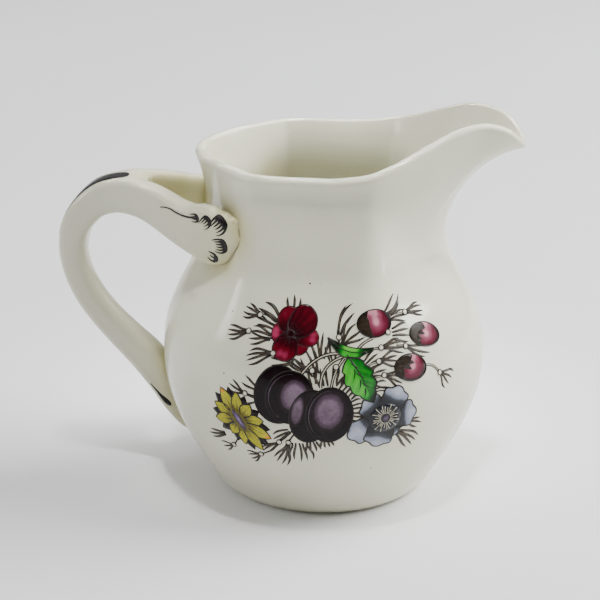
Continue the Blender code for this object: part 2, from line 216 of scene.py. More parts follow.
def bowl_radius(z):
    profile = np.array(PROFILE)
    return spline(np.ravel(z), profile[:, 0], profile[:, 1:])[:, 0].reshape(np.shape(z))


def bowl_point(angle, z):
    """The outside of the bowl below the neck line: round low down, a soft hexagon at the neck."""
    angle, z = np.broadcast_arrays(np.asarray(angle, float), np.asarray(z, float))
    facets = ease((z - HEXAGON_START_Z) / (NECK_Z - HEXAGON_START_Z))
    radius = bowl_radius(z) * (1 - facets * (1 - hexagon(angle)))
    turn = np.radians(angle)
    return np.stack([radius * np.cos(turn), radius * np.sin(turn), z], -1)


def neck_ring(t, angle):
    """The outside from the neck line, t = 0, to the lip's outer edge, t = 1, as one Bezier per column."""
    low = bowl_point(angle, NECK_Z)
    below = bowl_point(angle, NECK_Z - 2)
    lip = lip_at(angle)
    top = lip[:, :3]
    lean = np.radians(lip[:, 3:])
    along = lip_at(angle + 0.5)[:, :2] - lip_at(angle - 0.5)[:, :2]
    aside = ease(np.abs(angle) / TIP_TURN)
    outward = unit(np.stack([along[:, 1], -along[:, 0] * aside], -1))
    climb = (low - below) / (low - below)[:, 2:]
    rise = top[:, 2:] - NECK_Z
    spread = np.linalg.norm(top[:, :2] - low[:, :2], axis=1, keepdims=True)
    reach = LIP_PULL * rise + LIP_PULL_SPREAD * spread
    first = low + climb * rise * (NECK_PULL - NECK_PULL_LOSS * spread)
    second = top - reach * np.hstack([np.sin(lean) * outward, np.cos(lean)])
    return (1 - t)**3 * low + 3 * t * (1 - t)**2 * first + 3 * t**2 * (1 - t) * second + t**3 * top


def outer_rows():
    angle = np.arange(COLUMNS) * 360.0 / COLUMNS - 180
    low = BOWL_START_Z + (NECK_Z - BOWL_START_Z) * np.linspace(0, 1, BOWL_ROWS)[:-1]
    rows = [bowl_point(angle, z) for z in [*FOOT_HEIGHTS, *low]]
    rows += [neck_ring(t, angle) for t in np.linspace(0, 1, NECK_ROWS)]
    return angle, np.array(rows)


def row_normals(rows):
    around = np.roll(rows, -1, 1) - np.roll(rows, 1, 1)
    up = np.gradient(rows, axis=0)
    return unit(np.cross(around, up))


def lip_and_inside(angle, rows):
    """The rounded lip, then the inside wall down to the floor."""
    normal = row_normals(rows)
    away = np.abs(angle)[:, None]
    lip_wall = LIP_WALL - (LIP_WALL - SPOUT_LIP_WALL) * np.exp(-(away / 18.0) ** 2)
    upward = unit(rows[-1] - rows[-2])
    middle = rows[-1] - normal[-1] * lip_wall / 2
    made = []
    for turn in np.linspace(0, math.pi, LIP_STEPS + 1)[1:]:
        offset = math.cos(turn) * normal[-1] + LIP_HEIGHT_RATIO * math.sin(turn) * upward
        made.append(middle + offset * lip_wall / 2)
    depth = np.zeros((len(angle), 1))
    for i in range(len(rows) - 2, -1, -1):
        if rows[i, 0, 2] < FLOOR_START_Z:
            break
        depth = depth + np.linalg.norm(rows[i + 1] - rows[i], axis=-1, keepdims=True)
        wall = lip_wall + (WALL - lip_wall) * ease(depth / LIP_BLEND)
        made.append(rows[i] - normal[i] * wall)
    return made


def round_ring(radius, z, angle):
    turn = np.radians(angle)
    return np.stack([radius * np.cos(turn), radius * np.sin(turn), np.full_like(turn, z)], -1)


def on_bowl(arc, z, lift):
    """Points a little above the bowl's outside; arc runs from the decorated side's middle to the spout."""
    arc, z, lift = np.broadcast_arrays(arc, z, lift)
    angle = np.degrees(arc / PAINT_RADIUS) - 90
    step = 0.25
    around = bowl_point(angle + step, z) - bowl_point(angle - step, z)
    up = bowl_point(angle, z + step) - bowl_point(angle, z - step)
    return bowl_point(angle, z) + unit(np.cross(around, up)) * lift[..., None]


# ---------------------------------------------------------------- meshes and pieces

def face_outward(mesh):
    bm = bmesh.new()
    bm.from_mesh(mesh)
    bmesh.ops.recalc_face_normals(bm, faces=bm.faces)
    bm.to_mesh(mesh)
    bm.free()


def new_piece(name, points, faces, material, replaces=(), attributes=None):
    """A closed mesh from points in millimetres, riding on the jug's one body."""
    mesh = bpy.data.meshes.new(name)
    metres = (np.asarray(points, float) + (AXIS_X, 0, 0)) * MM
    mesh.from_pydata(metres.tolist(), [], faces)
    for key, values in (attributes or {}).items():
        layer = mesh.attributes.new(key, "FLOAT", "POINT")
        layer.data.foreach_set("value", np.asarray(values, np.float32))
    face_outward(mesh)
    mesh.shade_smooth()
    mesh.materials.append(material)
    piece = bpy.data.objects.new(name, mesh)
    bpy.context.scene.collection.objects.link(piece)
    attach(piece, "root")
    if replaces:
        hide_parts(*replaces)
    return piece


def loft(rings, centres=None):
    """Points and faces of a tube through equal rings, closed at its ends on points or on itself."""
    rings = np.asarray(rings)
    count, sides = rings.shape[:2]
    points = rings.reshape(-1, 3).tolist()
    faces = []
    for i in range(count if centres is None else count - 1):
        low, high = i * sides, (i + 1) % count * sides
        faces += [(low + j, low + (j + 1) % sides, high + (j + 1) % sides, high + j) for j in range(sides)]
    if centres is not None:
        start, end = len(points), len(points) + 1
        points += [list(map(float, centre)) for centre in centres]
        last = (count - 1) * sides
        faces += [((j + 1) % sides, j, start) for j in range(sides)]
        faces += [(last + j, last + (j + 1) % sides, end) for j in range(sides)]
    return points, faces


def dense(stations):
    """Stations read again every SECTION_STEP along a smooth curve through them."""
    stations = np.array(stations, float)
    length = length_along(stations[:, :3])
    count = int(length[-1] / SECTION_STEP) + 1
    return spline(np.linspace(0, length[-1], count), length, stations)


def sweep(stations, squareness):
    """A limb through stations of x, y, z, half width and half thickness, each with a squareness."""
    tangent = unit(np.gradient(stations[:, :3], axis=0))
    turn = np.linspace(0, 2 * math.pi, SECTION_SIDES, endpoint=False)
    rings = []
    for row, ahead, square in zip(stations, tangent, squareness):
        across = np.array([0.0, 1.0, 0.0])
        if abs(ahead[1]) > 0.02:
            across = unit(np.cross(ahead, (0.0, 0.0, 1.0)))
        outward = np.cross(across, ahead)
        wide = np.sign(np.cos(turn)) * np.abs(np.cos(turn)) ** (2 / square) * row[3]
        thick = np.sign(np.sin(turn)) * np.abs(np.sin(turn)) ** (2 / square) * row[4]
        rings.append(row[:3] + wide[:, None] * across + thick[:, None] * outward)
    return loft(rings, (rings[0].mean(axis=0), rings[-1].mean(axis=0)))


# ---------------------------------------------------------------- materials

def linear(red, green, blue):
    """A colour given as 0 to 255 display values, as linear light."""
    found = []
    for value in (red, green, blue):
        value = value / 255
        found.append(value / 12.92 if value <= 0.04045 else ((value + 0.055) / 1.055) ** 2.4)
    return (*found, 1.0)


class Nodes:
    """A small helper that adds and joins shader nodes of one material."""

    def __init__(self, name, roughness):
        self.material = bpy.data.materials.new(name)
        self.material.use_nodes = True
        self.tree = self.material.node_tree
        self.shader = self.tree.nodes["Principled BSDF"]
        self.shader.inputs["Roughness"].default_value = roughness
        self.place = self.add("ShaderNodeTexCoord").outputs["Object"]

    def add(self, kind, **values):
        node = self.tree.nodes.new(kind)
        for key, value in values.items():
            setattr(node, key, value)
        return node

    def join(self, start, end):
        self.tree.links.new(start, end)

    def noise(self, scale, detail=3.0, roughness=0.5):
        """Noise from 0 to 1; scale is in features for each metre."""
        node = self.add("ShaderNodeTexNoise")
        node.inputs["Scale"].default_value = scale
        node.inputs["Detail"].default_value = detail
        node.inputs["Roughness"].default_value = roughness
        self.join(self.place, node.inputs["Vector"])
        return node.outputs["Fac"]

    def attribute(self, name):
        return self.add("ShaderNodeAttribute", attribute_name=name).outputs["Fac"]

    def math(self, operation, first, second, clamp=False):
        node = self.add("ShaderNodeMath", operation=operation, use_clamp=clamp)
        for socket, value in zip(node.inputs, (first, second)):
            if isinstance(value, (int, float)):
                socket.default_value = value
            else:
                self.join(value, socket)
        return node.outputs["Value"]

    def ramp(self, value, stops):
        node = self.add("ShaderNodeValToRGB")
        node.color_ramp.interpolation = "EASE"
        elements = node.color_ramp.elements
        while len(elements) < len(stops):
            elements.new(0.5)
        for element, (position, colour) in zip(elements, stops):
            element.position = position
            element.color = colour
        self.join(value, node.inputs["Fac"])
        return node.outputs["Color"]

    def mix(self, share, first, second):
        node = self.add("ShaderNodeMix", data_type="RGBA")
        for socket, value in ((node.inputs[0], share), (node.inputs[6], first), (node.inputs[7], second)):
            if isinstance(value, (int, float, tuple)):
                socket.default_value = value
            else:
                self.join(value, socket)
        return node.outputs[2]

    def bump(self, height, distance):
        """Relief whose full height is distance, in metres."""
        node = self.add("ShaderNodeBump")
        node.inputs["Distance"].default_value = distance
        self.join(height, node.inputs["Height"])
        self.join(node.outputs["Normal"], self.shader.inputs["Normal"])

    def colour(self, socket):
        self.join(socket, self.shader.inputs["Base Color"])


# Features for each metre in the glaze's noises.
CLOUD_SCALE = 26
POOL_AND_SHADE_SCALE = 160
SPECKLE_SCALE = 1500
BISCUIT_SCALE = 900
GLOSS_SCALE = 70
RIPPLE_SCALE = 55
FINE_RIPPLE_SCALE = 420
DOT_SCALE = 1700
GLAZE_IOR = 1.52
GLAZE_RELIEF = 0.00045
ENAMEL_RELIEF = 0.00003
SPECK = linear(205, 196, 172)
BISCUIT_DARK = linear(206, 196, 172)
BISCUIT_LIGHT = linear(228, 220, 200)
WHITE = (1, 1, 1, 1)
BLACK = (0, 0, 0, 1)


def glaze_material(name, light, deep, pool_shade_colour):
    """Ivory glaze: cloudy thickness, an olive tint for pooling and painted shade, pinholes, and a bare foot.
    """
    nodes = Nodes(name, 0.1)
    nodes.shader.inputs["IOR"].default_value = GLAZE_IOR
    cloud = nodes.ramp(nodes.noise(CLOUD_SCALE, 2.0), [(0.35, linear(*light)), (0.72, linear(*deep))])
    uneven = nodes.math("ADD", 0.75, nodes.noise(POOL_AND_SHADE_SCALE, 2.0))
    pool_and_shade = nodes.math("MULTIPLY", nodes.attribute("pool_and_shade"), uneven, clamp=True)
    glazed = nodes.mix(pool_and_shade, cloud, linear(*pool_shade_colour))
    speckle = nodes.ramp(nodes.noise(SPECKLE_SCALE, 1.0, 0.4), [(0.755, WHITE), (0.80, SPECK)])
    mixed = nodes.add("ShaderNodeMix", data_type="RGBA", blend_type="MULTIPLY")
    mixed.inputs[0].default_value = 0.5
    nodes.join(glazed, mixed.inputs[6])
    nodes.join(speckle, mixed.inputs[7])
    grain = nodes.noise(BISCUIT_SCALE, 4.0, 0.7)
    biscuit = nodes.ramp(grain, [(0.3, BISCUIT_DARK), (0.75, BISCUIT_LIGHT)])
    bare = nodes.attribute("bare")
    nodes.colour(nodes.mix(bare, mixed.outputs[2], biscuit))
    gloss = nodes.math("MULTIPLY_ADD", nodes.noise(GLOSS_SCALE, 3.0), 0.09)
    gloss.node.inputs[2].default_value = 0.05
    rough = nodes.math("MAXIMUM", gloss, nodes.math("MULTIPLY", bare, 0.7))
    nodes.join(rough, nodes.shader.inputs["Roughness"])
    fine = nodes.math("MULTIPLY", nodes.noise(FINE_RIPPLE_SCALE, 2.0), 0.05)
    nodes.bump(nodes.math("ADD", nodes.noise(RIPPLE_SCALE, 1.0), fine), GLAZE_RELIEF)
    return nodes.material


def enamel_material(name, stops, noise_scale, noise_amount, roughness, stipple=0.0, shine=0.5):
    """Painted enamel whose colour follows the tone attribute, broken up by brush and stipple noise."""
    nodes = Nodes(name, roughness)
    nodes.shader.inputs["Specular IOR Level"].default_value = shine
    stops = [(position, linear(*colour)) for position, colour in stops]
    wobble = nodes.math("SUBTRACT", nodes.noise(noise_scale, 4.0, 0.6), 0.5)
    wobble = nodes.math("MULTIPLY", wobble, noise_amount)
    tone = nodes.math("ADD", nodes.attribute("tone"), wobble, clamp=True)
    colour = nodes.ramp(tone, stops)
    if stipple:
        dots = nodes.add("ShaderNodeTexVoronoi", feature="F1")
        dots.inputs["Scale"].default_value = DOT_SCALE
        nodes.join(nodes.place, dots.inputs["Vector"])
        dot = nodes.ramp(dots.outputs["Distance"], [(0.16, WHITE), (0.34, BLACK)])
        colour = nodes.mix(nodes.math("MULTIPLY", dot, stipple), colour, stops[0][1])
    nodes.colour(colour)
    nodes.bump(nodes.noise(noise_scale * 1.5, 2.0), ENAMEL_RELIEF)
    return nodes.material


# Colours are display values from 0 to 255: the glaze's light and deep tints, then pooling and painted shade.
GLAZE = glaze_material("ivory_glaze", (223, 222, 200), (215, 214, 189), (188, 180, 122))
HANDLE_GLAZE = glaze_material("ivory_glaze_handle", (220, 219, 195), (212, 210, 182), (186, 178, 114))
# The enamels' colours by tone, then noise scale and amount, roughness, stipple and shine.
# The slip's colour is dark: a painted shadow line in the crease round each joint of the handle.
SLIP_SHADOW = enamel_material("glazed_slip_painted_shadow", [(0.2, (116, 108, 78)), (0.8, (166, 158, 124))], 300, 0.6, 0.16)
PRINT = enamel_material(
    "brown_print", [(0.1, (24, 18, 13)), (0.45, (44, 35, 26)), (0.95, (98, 84, 68))],
    900, 0.7, 0.25, shine=0.25)
BRUSH = enamel_material(
    "brown_black_brushwork", [(0.1, (14, 11, 8)), (0.8, (46, 38, 29))], 900, 0.5, 0.22, shine=0.25)
CRIMSON = enamel_material(
    "crimson_enamel_paint",
    [(0.0, (20, 3, 6)), (0.3, (50, 3, 12)), (0.6, (94, 6, 24)), (1.0, (160, 50, 84))],
    420, 0.3, 0.16, 0.12, 0.25)
PLUM = enamel_material(
    "plum_enamel_paint",
    [(0.0, (14, 8, 9)), (0.35, (32, 20, 24)), (0.62, (80, 62, 76)), (1.0, (140, 118, 136))],
    620, 0.3, 0.16, 0.2, 0.15)
YELLOW = enamel_material(
    "yellow_enamel_paint",
    [(0.0, (54, 44, 16)), (0.3, (112, 104, 20)), (0.62, (172, 168, 20)), (0.82, (192, 184, 30)),
     (1.0, (214, 138, 22))],
    1300, 0.55, 0.2, 0.5, 0.3)
BLUE_GREY = enamel_material(
    "blue_grey_enamel_paint",
    [(0.0, (10, 12, 15)), (0.3, (46, 50, 58)), (0.65, (138, 144, 160)), (1.0, (184, 188, 200))],
    420, 0.26, 0.18, 0.12, 0.3)
GREEN = enamel_material(
    "green_enamel_paint",
    [(0.0, (10, 30, 10)), (0.35, (16, 96, 26)), (0.65, (40, 158, 38)), (1.0, (112, 200, 74))],
    420, 0.24, 0.16, shine=0.3)
BUD_RED = enamel_material(
    "bud_enamel_paint",
    [(0.0, (30, 12, 17)), (0.28, (88, 18, 38)), (0.52, (132, 62, 82)), (0.74, (196, 134, 146)),
     (1.0, (222, 214, 212))],
    500, 0.2, 0.14, 0.12, 0.3)
PALE = enamel_material(
    "pale_line_paint", [(0.2, (196, 188, 164)), (0.9, (226, 221, 200))], 700, 0.5, 0.16)
PURPLE = enamel_material(
    "purple_centre_paint", [(0.1, (52, 30, 56)), (0.5, (92, 66, 110)), (1.0, (190, 172, 196))],
    900, 0.6, 0.2, 0.2)


# ---------------------------------------------------------------- the pottery

def near_seams(points, seams, reach):
    """0 to 1 for each point: how close it lies to the seams, where glaze pooling and painted shade go."""
    total = np.zeros(len(points))
    for seam in seams:
        tree = KDTree(len(seam))
        for i, point in enumerate(seam):
            tree.insert(point, i)
        tree.balance()
        distance = np.array([tree.find(point)[2] for point in points])
        total += np.exp(-(distance / reach) ** 2)
    return np.clip(total, 0, 1)


def make_handle_mesh(outside):
    """The strap and two fans as one smooth skin, nowhere deeper in the bowl's wall than JOINT_DEPTH."""
    strap = dense(STRAP)
    top = ease((strap[:, 2] - SQUARE_START_Z) / SQUARE_RISE)
    limbs = [sweep(strap, SOFT_SECTION + (SQUARE_SECTION - SOFT_SECTION) * top)]
    fan = dense(FAN)
    for side in (1, -1):
        mirrored = fan * [1, side, 1, 1, 1]
        limbs.append(sweep(mirrored, np.full(len(fan), SQUARE_SECTION)))
    source = bpy.data.meshes.new("handle_source")
    points, faces = [], []
    for limb_points, limb_faces in limbs:
        faces += [tuple(len(points) + i for i in face) for face in limb_faces]
        points += limb_points
    source.from_pydata(points, [], faces)
    face_outward(source)
    worker = bpy.data.objects.new("handle_source", source)
    bpy.context.scene.collection.objects.link(worker)
    remesh = worker.modifiers.new("remesh", "REMESH")
    remesh.mode = "VOXEL"
    remesh.voxel_size = HANDLE_VOXEL
    smooth = worker.modifiers.new("smooth", "SMOOTH")
    smooth.factor = 0.5
    smooth.iterations = HANDLE_SMOOTHING
    graph = bpy.context.evaluated_depsgraph_get()
    skin = bpy.data.meshes.new_from_object(worker.evaluated_get(graph))
    bpy.data.objects.remove(worker)
    points = np.array([vertex.co for vertex in skin.vertices])
    faces = [tuple(polygon.vertices) for polygon in skin.polygons]
    height = np.zeros(len(points))
    for i, point in enumerate(points):
        spot, normal, _, _ = outside.find_nearest(point)
        above = (Vector(point) - spot).dot(normal)
        if above < -JOINT_DEPTH:
            points[i] = spot - normal * JOINT_DEPTH
            above = -JOINT_DEPTH
        height[i] = above
    return points, faces, height


def waterlines(points, faces, height):
    """The closed lines on a mesh along which height is zero."""
    crossing = {}
    links = defaultdict(list)
    for face in faces:
        cut = []
        for a, b in zip(face, face[1:] + face[:1]):
            if (height[a] < 0) != (height[b] < 0):
                key = (min(a, b), max(a, b))
                share = height[key[0]] / (height[key[0]] - height[key[1]])
                crossing[key] = points[key[0]] + (points[key[1]] - points[key[0]]) * share
                cut.append(key)
        for first, second in zip(cut[::2], cut[1::2]):
            links[first].append(second)
            links[second].append(first)
    loops = []
    unused = set(crossing)
    while unused:
        start = min(unused)
        loop = [start]
        unused.discard(start)
        while True:
            onward = [key for key in links[loop[-1]] if key in unused]
            if not onward:
                break
            loop.append(onward[0])
            unused.discard(onward[0])
        loops.append(np.array([crossing[key] for key in loop]))
    return [loop for loop in loops if len(loop) > SEAM_LEAST]


def smooth_loop(loop):
    """A closed loop without its small steps, read again about every SEAM_STEP."""
    for _ in range(SEAM_SMOOTHING):
        loop = (np.roll(loop, 1, 0) + 2 * loop + np.roll(loop, -1, 0)) / 4
    closed = np.vstack([loop, loop[:1]])
    length = length_along(closed)
    count = int(length[-1] / SEAM_STEP)
    at = np.linspace(0, length[-1], count, endpoint=False)
    return np.stack([np.interp(at, length, closed[:, axis]) for axis in range(3)], -1)


def bead(loop):
    """A closed round bead of slip along a loop."""
    ahead = unit(np.roll(loop, -1, 0) - np.roll(loop, 1, 0))
    out = unit(np.cross(ahead, loop - loop.mean(axis=0)))
    side = np.cross(ahead, out)
    turn = np.linspace(0, 2 * math.pi, SEAM_SIDES, endpoint=False)[None, :, None]
    rings = loop[:, None] + SEAM_RADIUS * (np.cos(turn) * out[:, None] + np.sin(turn) * side[:, None])
    return loft(rings)


def make_pottery():
    """The body, the handle and the slip between them. Returns a search tree of the handle's outside."""
    angle, rows = outer_rows()
    outer_points = rows.reshape(-1, 3)
    _, outer_faces = loft(rows, (rows[0].mean(axis=0), rows[-1].mean(axis=0)))
    centres = [(0, 0, rows[0, 0, 2]), rows[-1].mean(axis=0)]
    outside = BVHTree.FromPolygons([*outer_points.tolist(), *map(list, centres)], outer_faces)
    handle_points, handle_faces, height = make_handle_mesh(outside)
    seams = [smooth_loop(loop) for loop in waterlines(handle_points, handle_faces, height)]

    rings = [round_ring(radius, z, angle) for radius, z in UNDERSIDE]
    rings += list(rows)
    rings += lip_and_inside(angle, rows)
    rings += [round_ring(radius, z, angle) for radius, z in FLOOR]
    points, faces = loft(rings, ((0, 0, UNDERSIDE_CENTRE_Z), (0, 0, FLOOR_CENTRE_Z)))
    points = np.array(points)
    # Glaze pooling and painted shade in the creases near the seams on the body.
    pool_and_shade = near_seams(points, seams, BODY_POOL_AND_SHADE_REACH)
    radius = np.hypot(points[:, 0], points[:, 1])
    bare = (points[:, 2] < BARE_Z) & (radius > BARE_RADII[0]) & (radius < BARE_RADII[1])
    # Painted shade in the fork: the outside of the neck between the branches.
    behind = 180 - np.abs(np.degrees(np.arctan2(points[:, 1], points[:, 0])))
    height = (points[:, 2] - FORK_Z) / FORK_HALF_HEIGHT
    fork_shade = np.exp(-height ** 2 - (behind / FORK_HALF_TURN) ** 2) * (radius > NECK_OUTSIDE)
    pool_and_shade = np.clip(pool_and_shade * BODY_POOL_AND_SHADE + FORK_PAINTED_SHADE * fork_shade, 0, 1)
    new_piece("jug_body", points, faces, GLAZE, ["body"], {"pool_and_shade": pool_and_shade, "bare": bare})

    # Glaze pooling and painted shade near the seams on the handle.
    pool_and_shade = near_seams(handle_points, seams, HANDLE_POOL_AND_SHADE_REACH)
    fan = dense(FAN)
    middle = np.interp(handle_points[:, 0], fan[:, 0], -fan[:, 1])
    # Painted shade on only the branches' inner faces, fading out towards the strap and below the fork.
    inner_face_shade = ease((middle - 0.8 - np.abs(handle_points[:, 1])) / 1.6)
    inner_face_shade = inner_face_shade * ease((handle_points[:, 0] + 54) / 10) * ease((handle_points[:, 2] - 60) / 6)
    pool_and_shade = np.clip(pool_and_shade * HANDLE_POOL_AND_SHADE + FORK_PAINTED_SHADE * inner_face_shade, 0, 1)
    new_piece("jug_handle", handle_points, handle_faces, HANDLE_GLAZE, ["handle"],
              {"pool_and_shade": pool_and_shade, "bare": np.zeros(len(pool_and_shade))})
    # Beads of slip along the seams, dark as a painted shadow line in the crease.
    for seam in seams:
        middle = seam.mean(axis=0)
        name = "tail_slip" if middle[2] < 40 else "front_slip" if middle[1] < 0 else "back_slip"
        seam_points, seam_faces = bead(seam)
        new_piece(name, seam_points, seam_faces, SLIP_SHADOW, [name + "_seam"],
                  {"tone": np.full(len(seam_points), 0.5)})
    return BVHTree.FromPolygons(handle_points.tolist(), handle_faces)


# ---------------------------------------------------------------- paint on a surface

class Paint:
    """Thin closed slabs of paint, gathered into one piece. A spot turns flat points into jug points."""

    def __init__(self):
        self.points, self.faces, self.tone = [], [], []

    def add(self, points, faces, tone):
        base = len(self.points)
        self.points += np.asarray(points).reshape(-1, 3).tolist()
        self.faces += [tuple(base + i for i in face) for face in faces]
        self.tone += list(np.broadcast_to(tone, len(self.points) - base))

    def fill(self, spot, outline, tone, lift, centre=(0.0, 0.0), rings=7):
        """Fills an outline that can be seen whole from its centre. tone(u, v, share) gives 0 to 1."""
        outline = np.asarray(outline, float)
        centre = np.asarray(centre, float)
        sides = len(outline)
        share = np.linspace(0, 1, rings + 1)[1:]
        flat = centre + (outline - centre)[None] * share[:, None, None]
        top = spot(flat.reshape(-1, 2), lift).reshape(rings, sides, 3)
        rim = spot(outline, -PAINT_DEPTH)
        middle = spot(centre[None], lift)[0]
        under = spot(centre[None], -PAINT_DEPTH)[0]
        points, faces = loft([*top, rim], (middle, under))
        shares = np.repeat(share, sides)
        tones = tone(flat[..., 0].ravel(), flat[..., 1].ravel(), shares)
        edge = tone(outline[:, 0], outline[:, 1], np.ones(sides))
        both = tone(centre[:1], centre[1:], np.zeros(1))
        tones = np.concatenate([np.broadcast_to(tones, len(shares)), np.broadcast_to(edge, sides),
                                np.broadcast_to(both, 1), np.broadcast_to(both, 1)])
        self.add(points, faces, tones)

    def line(self, spot, path, width, lift, tone=0.3, closed=False, across=2):
        """A brushed line along a path.

        Width is one value or one for each point; across is how many points lie side by side in the
        line's top, so that a wide line follows a curved surface.
        """
        path = np.asarray(path, float)
        width = np.broadcast_to(np.asarray(width, float), len(path))
        if closed:
            ahead = unit(np.roll(path, -1, 0) - np.roll(path, 1, 0))
        else:
            ahead = unit(np.gradient(path, axis=0))
        side = np.stack([-ahead[:, 1], ahead[:, 0]], -1) * np.maximum(width, THINNEST_LINE)[:, None] / 2
        upper = [spot(path + side * share, lift) for share in np.linspace(1, -1, across)]
        rings = np.stack([spot(path + side, -PAINT_DEPTH), *upper, spot(path - side, -PAINT_DEPTH)], axis=1)
        centres = None if closed else (rings[0].mean(axis=0), rings[-1].mean(axis=0))
        points, faces = loft(rings, centres)
        self.add(points, faces, tone)

    def piece(self, name, material, slot, replaces=()):
        return new_piece(name, self.points, self.faces, material, replaces, {"tone": self.tone})


def fade(middle, change):
    """A tone that changes from the middle of a fill to its edge."""
    return lambda u, v, share: middle + change * share


def layer(number):
    """Height above the glaze of one of the enamel's layers."""
    return ENAMEL_LIFT + number * LAYER_LIFT


def spot_on_bowl(degrees, z, turn=0.0):
    """A flat frame in millimetres at a place on the bowl, turned anticlockwise by some degrees."""
    radius = float(bowl_radius(z))
    slope = float(bowl_radius(z + 0.5) - bowl_radius(z - 0.5))
    rise = 1 / math.hypot(1, slope)
    stretch = PAINT_RADIUS / radius
    c, s = math.cos(math.radians(turn)), math.sin(math.radians(turn))
    arc = math.radians(degrees) * PAINT_RADIUS

    def spot(flat, lift):
        u, v = flat[:, 0], flat[:, 1]
        return on_bowl(arc + (u * c - v * s) * stretch, z + (u * s + v * c) * rise, lift)

    return spot


def flat_between(start, end):
    """The offset in millimetres from one place on the bowl to another, each degrees and height."""
    middle = (start[1] + end[1]) / 2
    radius = float(bowl_radius(middle))
    slope = float(bowl_radius(middle + 0.5) - bowl_radius(middle - 0.5))
    return np.array([math.radians(end[0] - start[0]) * radius, (end[1] - start[1]) * math.hypot(1, slope)])


def oval(half_u, half_v, count=40, centre=(0.0, 0.0)):
    turn = np.linspace(0, 2 * math.pi, count, endpoint=False)
    return np.stack([centre[0] + half_u * np.cos(turn), centre[1] + half_v * np.sin(turn)], -1)


def round_petal(start, length, width, scallops=0, depth=0.0, waist=0.55, count=48):
    """A broad petal along +u, from start to start + length; waist is its width at the start, as a share."""
    turn = np.linspace(0, 2 * math.pi, count, endpoint=False)
    u = (1 - np.cos(turn)) / 2
    v = np.sign(np.sin(turn)) * np.abs(np.sin(turn)) ** 0.85 * (waist + (1 - waist) * u)
    if scallops:
        wave = 1 + depth * np.cos(scallops * (turn - math.pi)) * ease(u * 2.2 - 0.8)
        u = 0.5 + (u - 0.5) * wave
        v = v * wave
    return np.stack([start + u * length, v * width / 2], -1)


def pointed_petal(start, length, width, count=12, belly=0.9):
    """A petal along +u with a point at each end; a larger belly puts its widest place farther out."""
    along = np.linspace(0, 1, count)
    half = np.sin(math.pi * along ** belly) ** 0.85 * width / 2
    there = np.stack([start + along * length, half], -1)
    back = np.stack([start + along[::-1] * length, -half[::-1]], -1)[1:-1]
    return np.vstack([there, back])


def rotated(flat, degrees):
    """Flat points turned anticlockwise about 0, 0."""
    c, s = math.cos(math.radians(degrees)), math.sin(math.radians(degrees))
    return np.asarray(flat) @ np.array([[c, s], [-s, c]])


def arc_path(start, end, bulge, count=9):
    """A curved path between two flat points, which bows to its left by bulge times its length."""
    start, end = np.asarray(start, float), np.asarray(end, float)
    t = np.linspace(0, 1, count)[:, None]
    chord = end - start
    left = np.array([-chord[1], chord[0]])
    return start + chord * t + left * bulge * 4 * t * (1 - t)


def spindle(count, width, belly=0.45, blunt=0.25):
    """Widths of a stroke that swells once and ends in a point."""
    t = np.linspace(0, 1, count)
    swell = np.where(t < belly, ease(t / belly) * (1 - blunt) + blunt, 1 - ease((t - belly) / (1 - belly)))
    return width * np.maximum(swell, 0.08)


# ---------------------------------------------------------------- the spray: flowers, fruit and leaves

# Width of the printed outline round each motif.
RED_OUTLINE = 0.34
PLUM_OUTLINE = 0.28
YELLOW_OUTLINE = 0.32
BLUE_OUTLINE = 0.36
LEAF_OUTLINE = 0.34
SMALL_LEAF_OUTLINE = 0.26
BUD_OUTLINE = 0.24
# Width of the fine line between one red petal and the next.
PETAL_EDGE = 0.13
# Centre of each flower: degrees from the middle of the decorated side towards the spout, and height.
RED_PLACE = (-4.4, 54.4)
YELLOW_PLACE = (-21.8, 30.9)
BLUE_PLACE = (30.2, 33.2)

# Petals of the red flower: direction in degrees, length, width, and how rosy its middle is.
RED_PETALS = [
    (-50, 5.8, 5.8, 0.4), (-6, 7.2, 5.6, 0.75), (180, 5.0, 6.2, 1.0), (-106, 6.9, 7.2, 0.8),
    (108, 6.6, 6.8, 0.4), (48, 8.2, 8.6, 0.1),
]


def paint_red_flower():
    petals, lines, centre = Paint(), Paint(), Paint()
    for i, (angle, length, width, rosy) in enumerate(RED_PETALS):
        spot = spot_on_bowl(*RED_PLACE, angle)
        outline = round_petal(-0.4, length + 0.4, width, 4, 0.03, 0.72)

        def tone(u, v, share, rosy=rosy, length=length):
            body = 0.2 + 0.26 * ease((u - 0.8) / 3.4)
            patch = np.exp(-((u - 0.8 * length) / 1.5) ** 2 - (v / 2.0) ** 2)
            ray = 0.1 * ease((u - 0.8) / 1.2) * (0.5 + 0.5 * np.cos(v * 5.2 / (0.5 + u * 0.2)))
            return body + rosy * 0.62 * patch - ray - 0.12 * ease((share - 0.85) / 0.15)

        lift = layer(i)
        petals.fill(spot, outline, tone, lift, centre=(length * 0.5, 0.0), rings=10)
        centre.line(spot, outline, PETAL_EDGE, lift + 0.008, closed=True, tone=0.2)
        lines.line(spot, outline, RED_OUTLINE, PRINT_LIFT, closed=True, tone=0.1)
    spot = spot_on_bowl(*RED_PLACE)
    lift = layer(len(RED_PETALS))
    for angle in range(0, 360, 24):
        reach = 2.5 + 0.6 * math.sin(angle * 1.7)
        ray = rotated(arc_path((0.4, 0.0), (reach, 0.0), 0.06, 6), angle)
        centre.line(spot, ray, spindle(6, 0.3, 0.3, 0.8), lift, 0.04)
    centre.fill(spot, oval(0.95, 0.9, 20), fade(0.02, 0.16), lift + 0.004, rings=3)
    for angle in range(0, 360, 40):
        dot = rotated([(2.5 + 0.4 * math.cos(angle), 0.0)], angle + 11)[0]
        centre.fill(spot, oval(0.17, 0.14, 8, dot), fade(0.6, -0.2), lift + 0.01, dot, rings=2)
    petals.piece("red_petals", CRIMSON, "crimson_enamel", ["red_flower"])
    centre.piece("red_flower_centre", CRIMSON, "crimson_enamel")
    return lines


